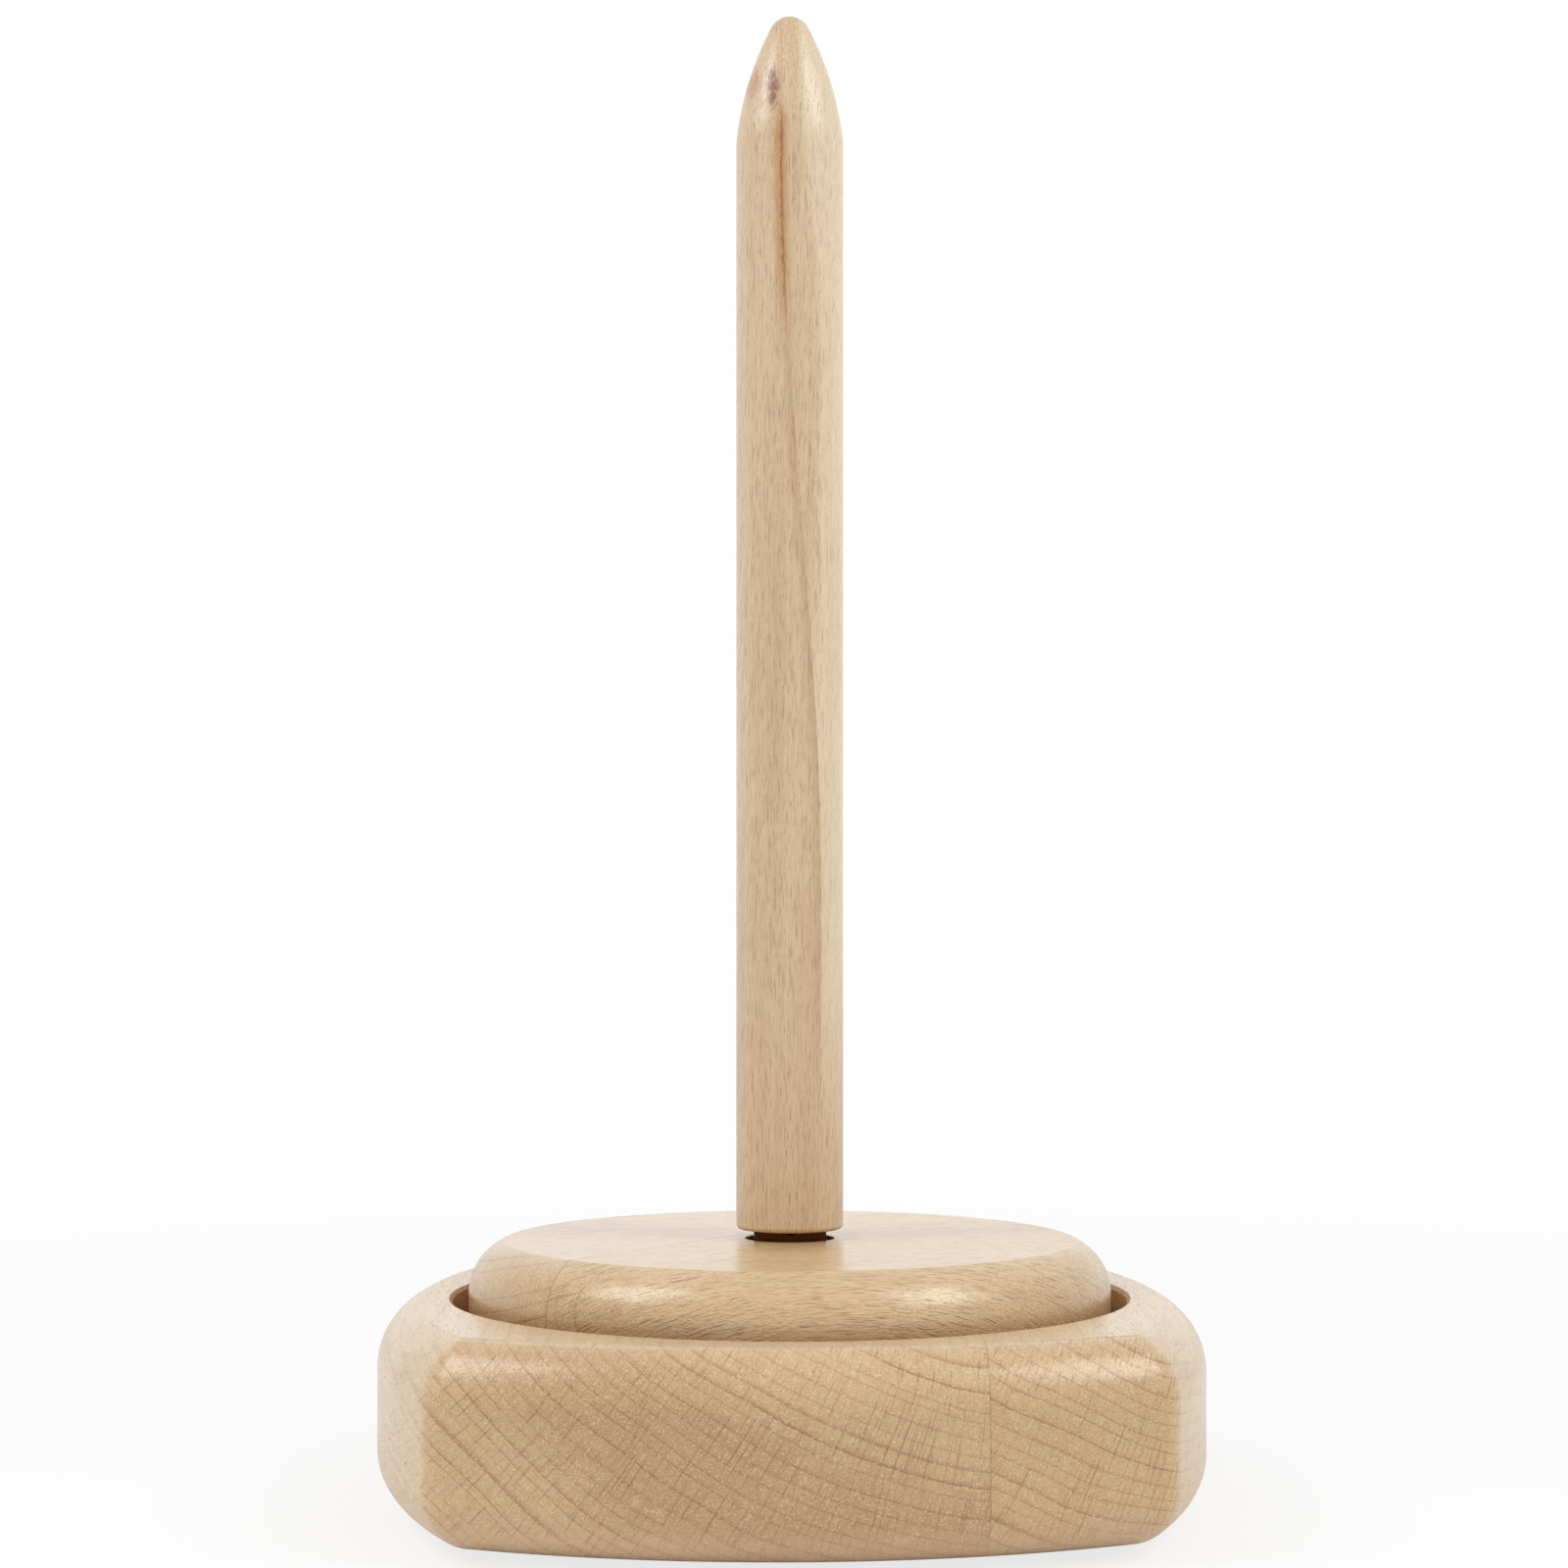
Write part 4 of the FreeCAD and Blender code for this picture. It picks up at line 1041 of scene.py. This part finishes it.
screwShape = {
    "circle": 13.0, "top": 18.1, "plate": 17.1, "head": 2.5, "headEdge": 0.06,
    "shank": 1.5, "neckLow": 16.5, "neckHigh": 16.9, "root": 1.12, "pitch": 1.1, "turns": 5,
    "threadFrom": 10.2, "pointFrom": 10.6, "pointRings": [(0.9, 9.6), (0.5, 8.7)],
    "point": 8.1, "slotWide": 0.8, "slotDeep": 0.5,
}


def buildKeeperScrews():
    shape = screwShape
    edge = shape["headEdge"]
    screw = addCylinder("screw", shape["root"], shape["pointFrom"], shape["neckLow"], 32)
    openEdit(screw)
    pick("FACE", capAt(shape["neckLow"]))
    climb(shape["root"], shape["neckLow"],
          [(shape["shank"], shape["neckHigh"]), (shape["shank"], shape["plate"]),
           (shape["head"], shape["top"] - edge), (shape["head"] - edge, shape["top"])])
    pick("FACE", capAt(shape["pointFrom"]))
    climb(shape["root"], shape["pointFrom"], shape["pointRings"])
    pull(shape["point"] - shape["pointRings"][-1][1])
    bpy.ops.mesh.merge(type="CENTER")
    closeEdit()
    bpy.ops.mesh.primitive_cube_add(size=shape["slotWide"] * mm,
                                    location=(0, 0, shape["top"] * mm))
    slot = bpy.context.object
    slot.scale = (10, 1, 2 * shape["slotDeep"] / shape["slotWide"])  # well past the head
    bpy.ops.object.transform_apply()
    carve(screw, slot)
    ridge = threadRidge(shape["root"], shape["shank"], shape["pitch"], shape["threadFrom"],
                        shape["turns"], 16)
    screw = join("keeper_screw_east", screw, ridge)
    screw.location = (shape["circle"] * mm, 0, 0)
    bpy.ops.object.transform_apply()
    smooth(screw, metalEdge)
    screws = [screw]
    for side, quarter in (("north", 1), ("west", 2), ("south", 3)):
        turned = duplicate(screw, "keeper_screw_" + side)
        turned.rotation_euler = (0, 0, math.radians(90 * quarter))
        bpy.ops.object.transform_apply()
        screws.append(turned)
    for screw in screws:
        mount(screw, "keeper_screws", "base", "zinc_steel")


plugShape = {
    "flange": 10.0, "low": 0.5, "seat": 1.5, "stem": 6.98, "high": 5.0, "chamfer": 0.5,
    "wall": 1.3, "floor": 0.3, "rim": 1.2, "dishStep": 0.3, "dish": 0.2,
    "gate": 1.5, "gateDepth": 0.15, "flangeRound": 0.35,
}


def buildPlug():
    shape = plugShape
    chamfer, step = shape["chamfer"], shape["dishStep"]
    plug = addCylinder("bore_plug_cap", shape["flange"], shape["low"], shape["seat"])
    openEdit(plug)
    pick("FACE", capAt(shape["seat"]))
    inset(shape["flange"] - shape["stem"])
    climb(shape["stem"], shape["seat"],
          [(shape["stem"], shape["high"] - chamfer), (shape["stem"] - chamfer, shape["high"])])
    inset(shape["wall"] - chamfer)
    pull(shape["seat"] - shape["high"] + shape["floor"])  # the stem is a cup
    pick("FACE", capAt(shape["low"]))
    inset(shape["rim"])
    inset(step, -shape["dish"])
    inset(shape["flange"] - shape["rim"] - step - shape["gate"])
    inset(step, -shape["gateDepth"])
    pick("EDGE", rimAt(shape["low"], shape["flange"]))
    bevel(shape["flangeRound"], 4)
    closeEdit()
    smooth(plug)
    mount(plug, "bore_plug", "base", "plug_plastic")


padShape = {
    "radius": 6.5, "height": 1.5, "spread": 31.0, "edge": 0.3, "topEdge": 0.1, "rim": 1.1,
    "step": 0.2, "dish": 0.3, "boss": 2.2, "bossHeight": 0.18,
}


def buildPads():
    shape = padShape
    pad = addCylinder("foot_pad", shape["radius"], 0, shape["height"], 64)
    openEdit(pad)
    pick("EDGE", rimAt(0))
    bevel(shape["edge"], 4)
    pick("FACE", capAt(0))
    inset(shape["rim"])
    inset(shape["step"], -shape["dish"])
    inset(shape["radius"] - shape["edge"] - shape["rim"] - shape["step"] - shape["boss"])
    inset(shape["step"], shape["bossHeight"])
    pick("EDGE", rimAt(shape["height"]))
    bevel(shape["topEdge"], 1)
    closeEdit()
    smooth(pad, 40)
    for x, side in ((-1, "left"), (1, "right")):
        for y, end in ((-1, "front"), (1, "back")):
            placed = duplicate(pad, "foot_pad_" + side + "_" + end)
            placed.location = (x * shape["spread"] * mm, y * shape["spread"] * mm, 0)
            bpy.ops.object.transform_apply()
            mount(placed, "foot_pads", "base", "pad_rubber")
    drop(pad)


buildNut()
buildBolt()
buildSpringWasher()
buildInsert()
buildKeeperScrews()
buildPlug()
buildPads()
for row in frame["record"]["subparts"]:
    if row["node"] not in remodelled:
        shopFinishes[row["material_slot"]].giveTo(nodes[row["node"]])
print("hardware done")


# metres, watts and degrees; paperWhite is in mm from the turning axis
studio = {
    "cameraDistance": 0.3938, "cameraHeight": 0.0779, "cameraTurn": -1.95,
    "cameraSide": -0.0008, "lens": 64.4, "shiftUp": 0.0985,
    "lamps": {"left": (-0.68, -0.21, 0.80), "right": (0.67, -0.33, 0.76)},
    "lampSize": (0.42, 0.5), "lampPower": 4.0, "lampAim": (0, 0, 0.05), "fill": 0.47,
    "paperSize": 6.0, "paperGlow": 0.78, "paperWhite": (150, 600),
}


def buildCamera():
    lens = bpy.data.cameras.new("camera")
    lens.lens, lens.sensor_width = studio["lens"], 36.0
    lens.shift_y = studio["shiftUp"]
    lens.clip_start = 0.01
    camera = bpy.data.objects.new("camera", lens)
    bpy.context.collection.objects.link(camera)
    turn = math.radians(studio["cameraTurn"])
    distance, sideways = studio["cameraDistance"], studio["cameraSide"]
    camera.location = (math.sin(turn) * distance + math.cos(turn) * sideways,
                       -math.cos(turn) * distance + math.sin(turn) * sideways,
                       studio["cameraHeight"])
    camera.rotation_euler = (math.radians(90), 0, turn)
    bpy.context.scene.camera = camera


def buildLamps():
    for side, place in studio["lamps"].items():
        lamp = bpy.data.lights.new("soft box " + side, "AREA")
        lamp.shape = "RECTANGLE"
        lamp.size, lamp.size_y = studio["lampSize"]
        lamp.energy = studio["lampPower"]
        light = bpy.data.objects.new(lamp.name, lamp)
        bpy.context.collection.objects.link(light)
        light.location = place
        away = Vector(place) - Vector(studio["lampAim"])
        light.rotation_euler = away.to_track_quat("Z", "Y").to_euler()


def buildRoom():
    # white where the camera looks or a gloss mirrors it, softer as light
    world = bpy.data.worlds.new("white room")
    bpy.context.scene.world = world
    world.use_nodes = True
    room = Board(world.node_tree)
    path = room.node("LightPath", {}, {}, "Is Camera Ray")
    seen = path.maths("MAXIMUM", path.also("Is Glossy Ray"))
    seen = seen.maths("MAXIMUM", path.also("Is Transmission Ray"))
    back = room.tree.nodes["Background"]
    room.feed(back.inputs["Color"], (1, 1, 1, 1))
    room.feed(back.inputs["Strength"], seen * (1 - studio["fill"]) + studio["fill"])


def buildFloor():
    # paper that keeps the shadow near the holder and is plain white further off
    bpy.ops.mesh.primitive_plane_add(size=studio["paperSize"],
                                     location=(0, 0, -0.1 * mm))  # just clear of the pads
    floor = bpy.context.object
    floor.name = "studio_floor"
    paper = Finish("floor paper", Base_Color=(0.97, 0.97, 0.97, 1), Roughness=0.9)
    path = paper.node("LightPath", {}, {}, "Is Camera Ray")
    far = paper.length(paper.point()).rise(*studio["paperWhite"])
    glow = paper.node("Emission", {}, {"Color": (1, 1, 1, 1), "Strength": 1.0})
    shown = path * (far * (1 - studio["paperGlow"]) + studio["paperGlow"])
    lit = Wire(paper, paper.shader.outputs[0])
    blend = paper.node("MixShader", {}, {0: shown, 1: lit, 2: glow})
    paper.feed(paper.tree.nodes["Material Output"].inputs["Surface"], blend)
    paper.giveTo(floor)


buildCamera()
buildLamps()
buildRoom()
buildFloor()
bpy.context.scene.view_settings.view_transform = "Standard"
print("studio done")

bpy.context.view_layer.update()
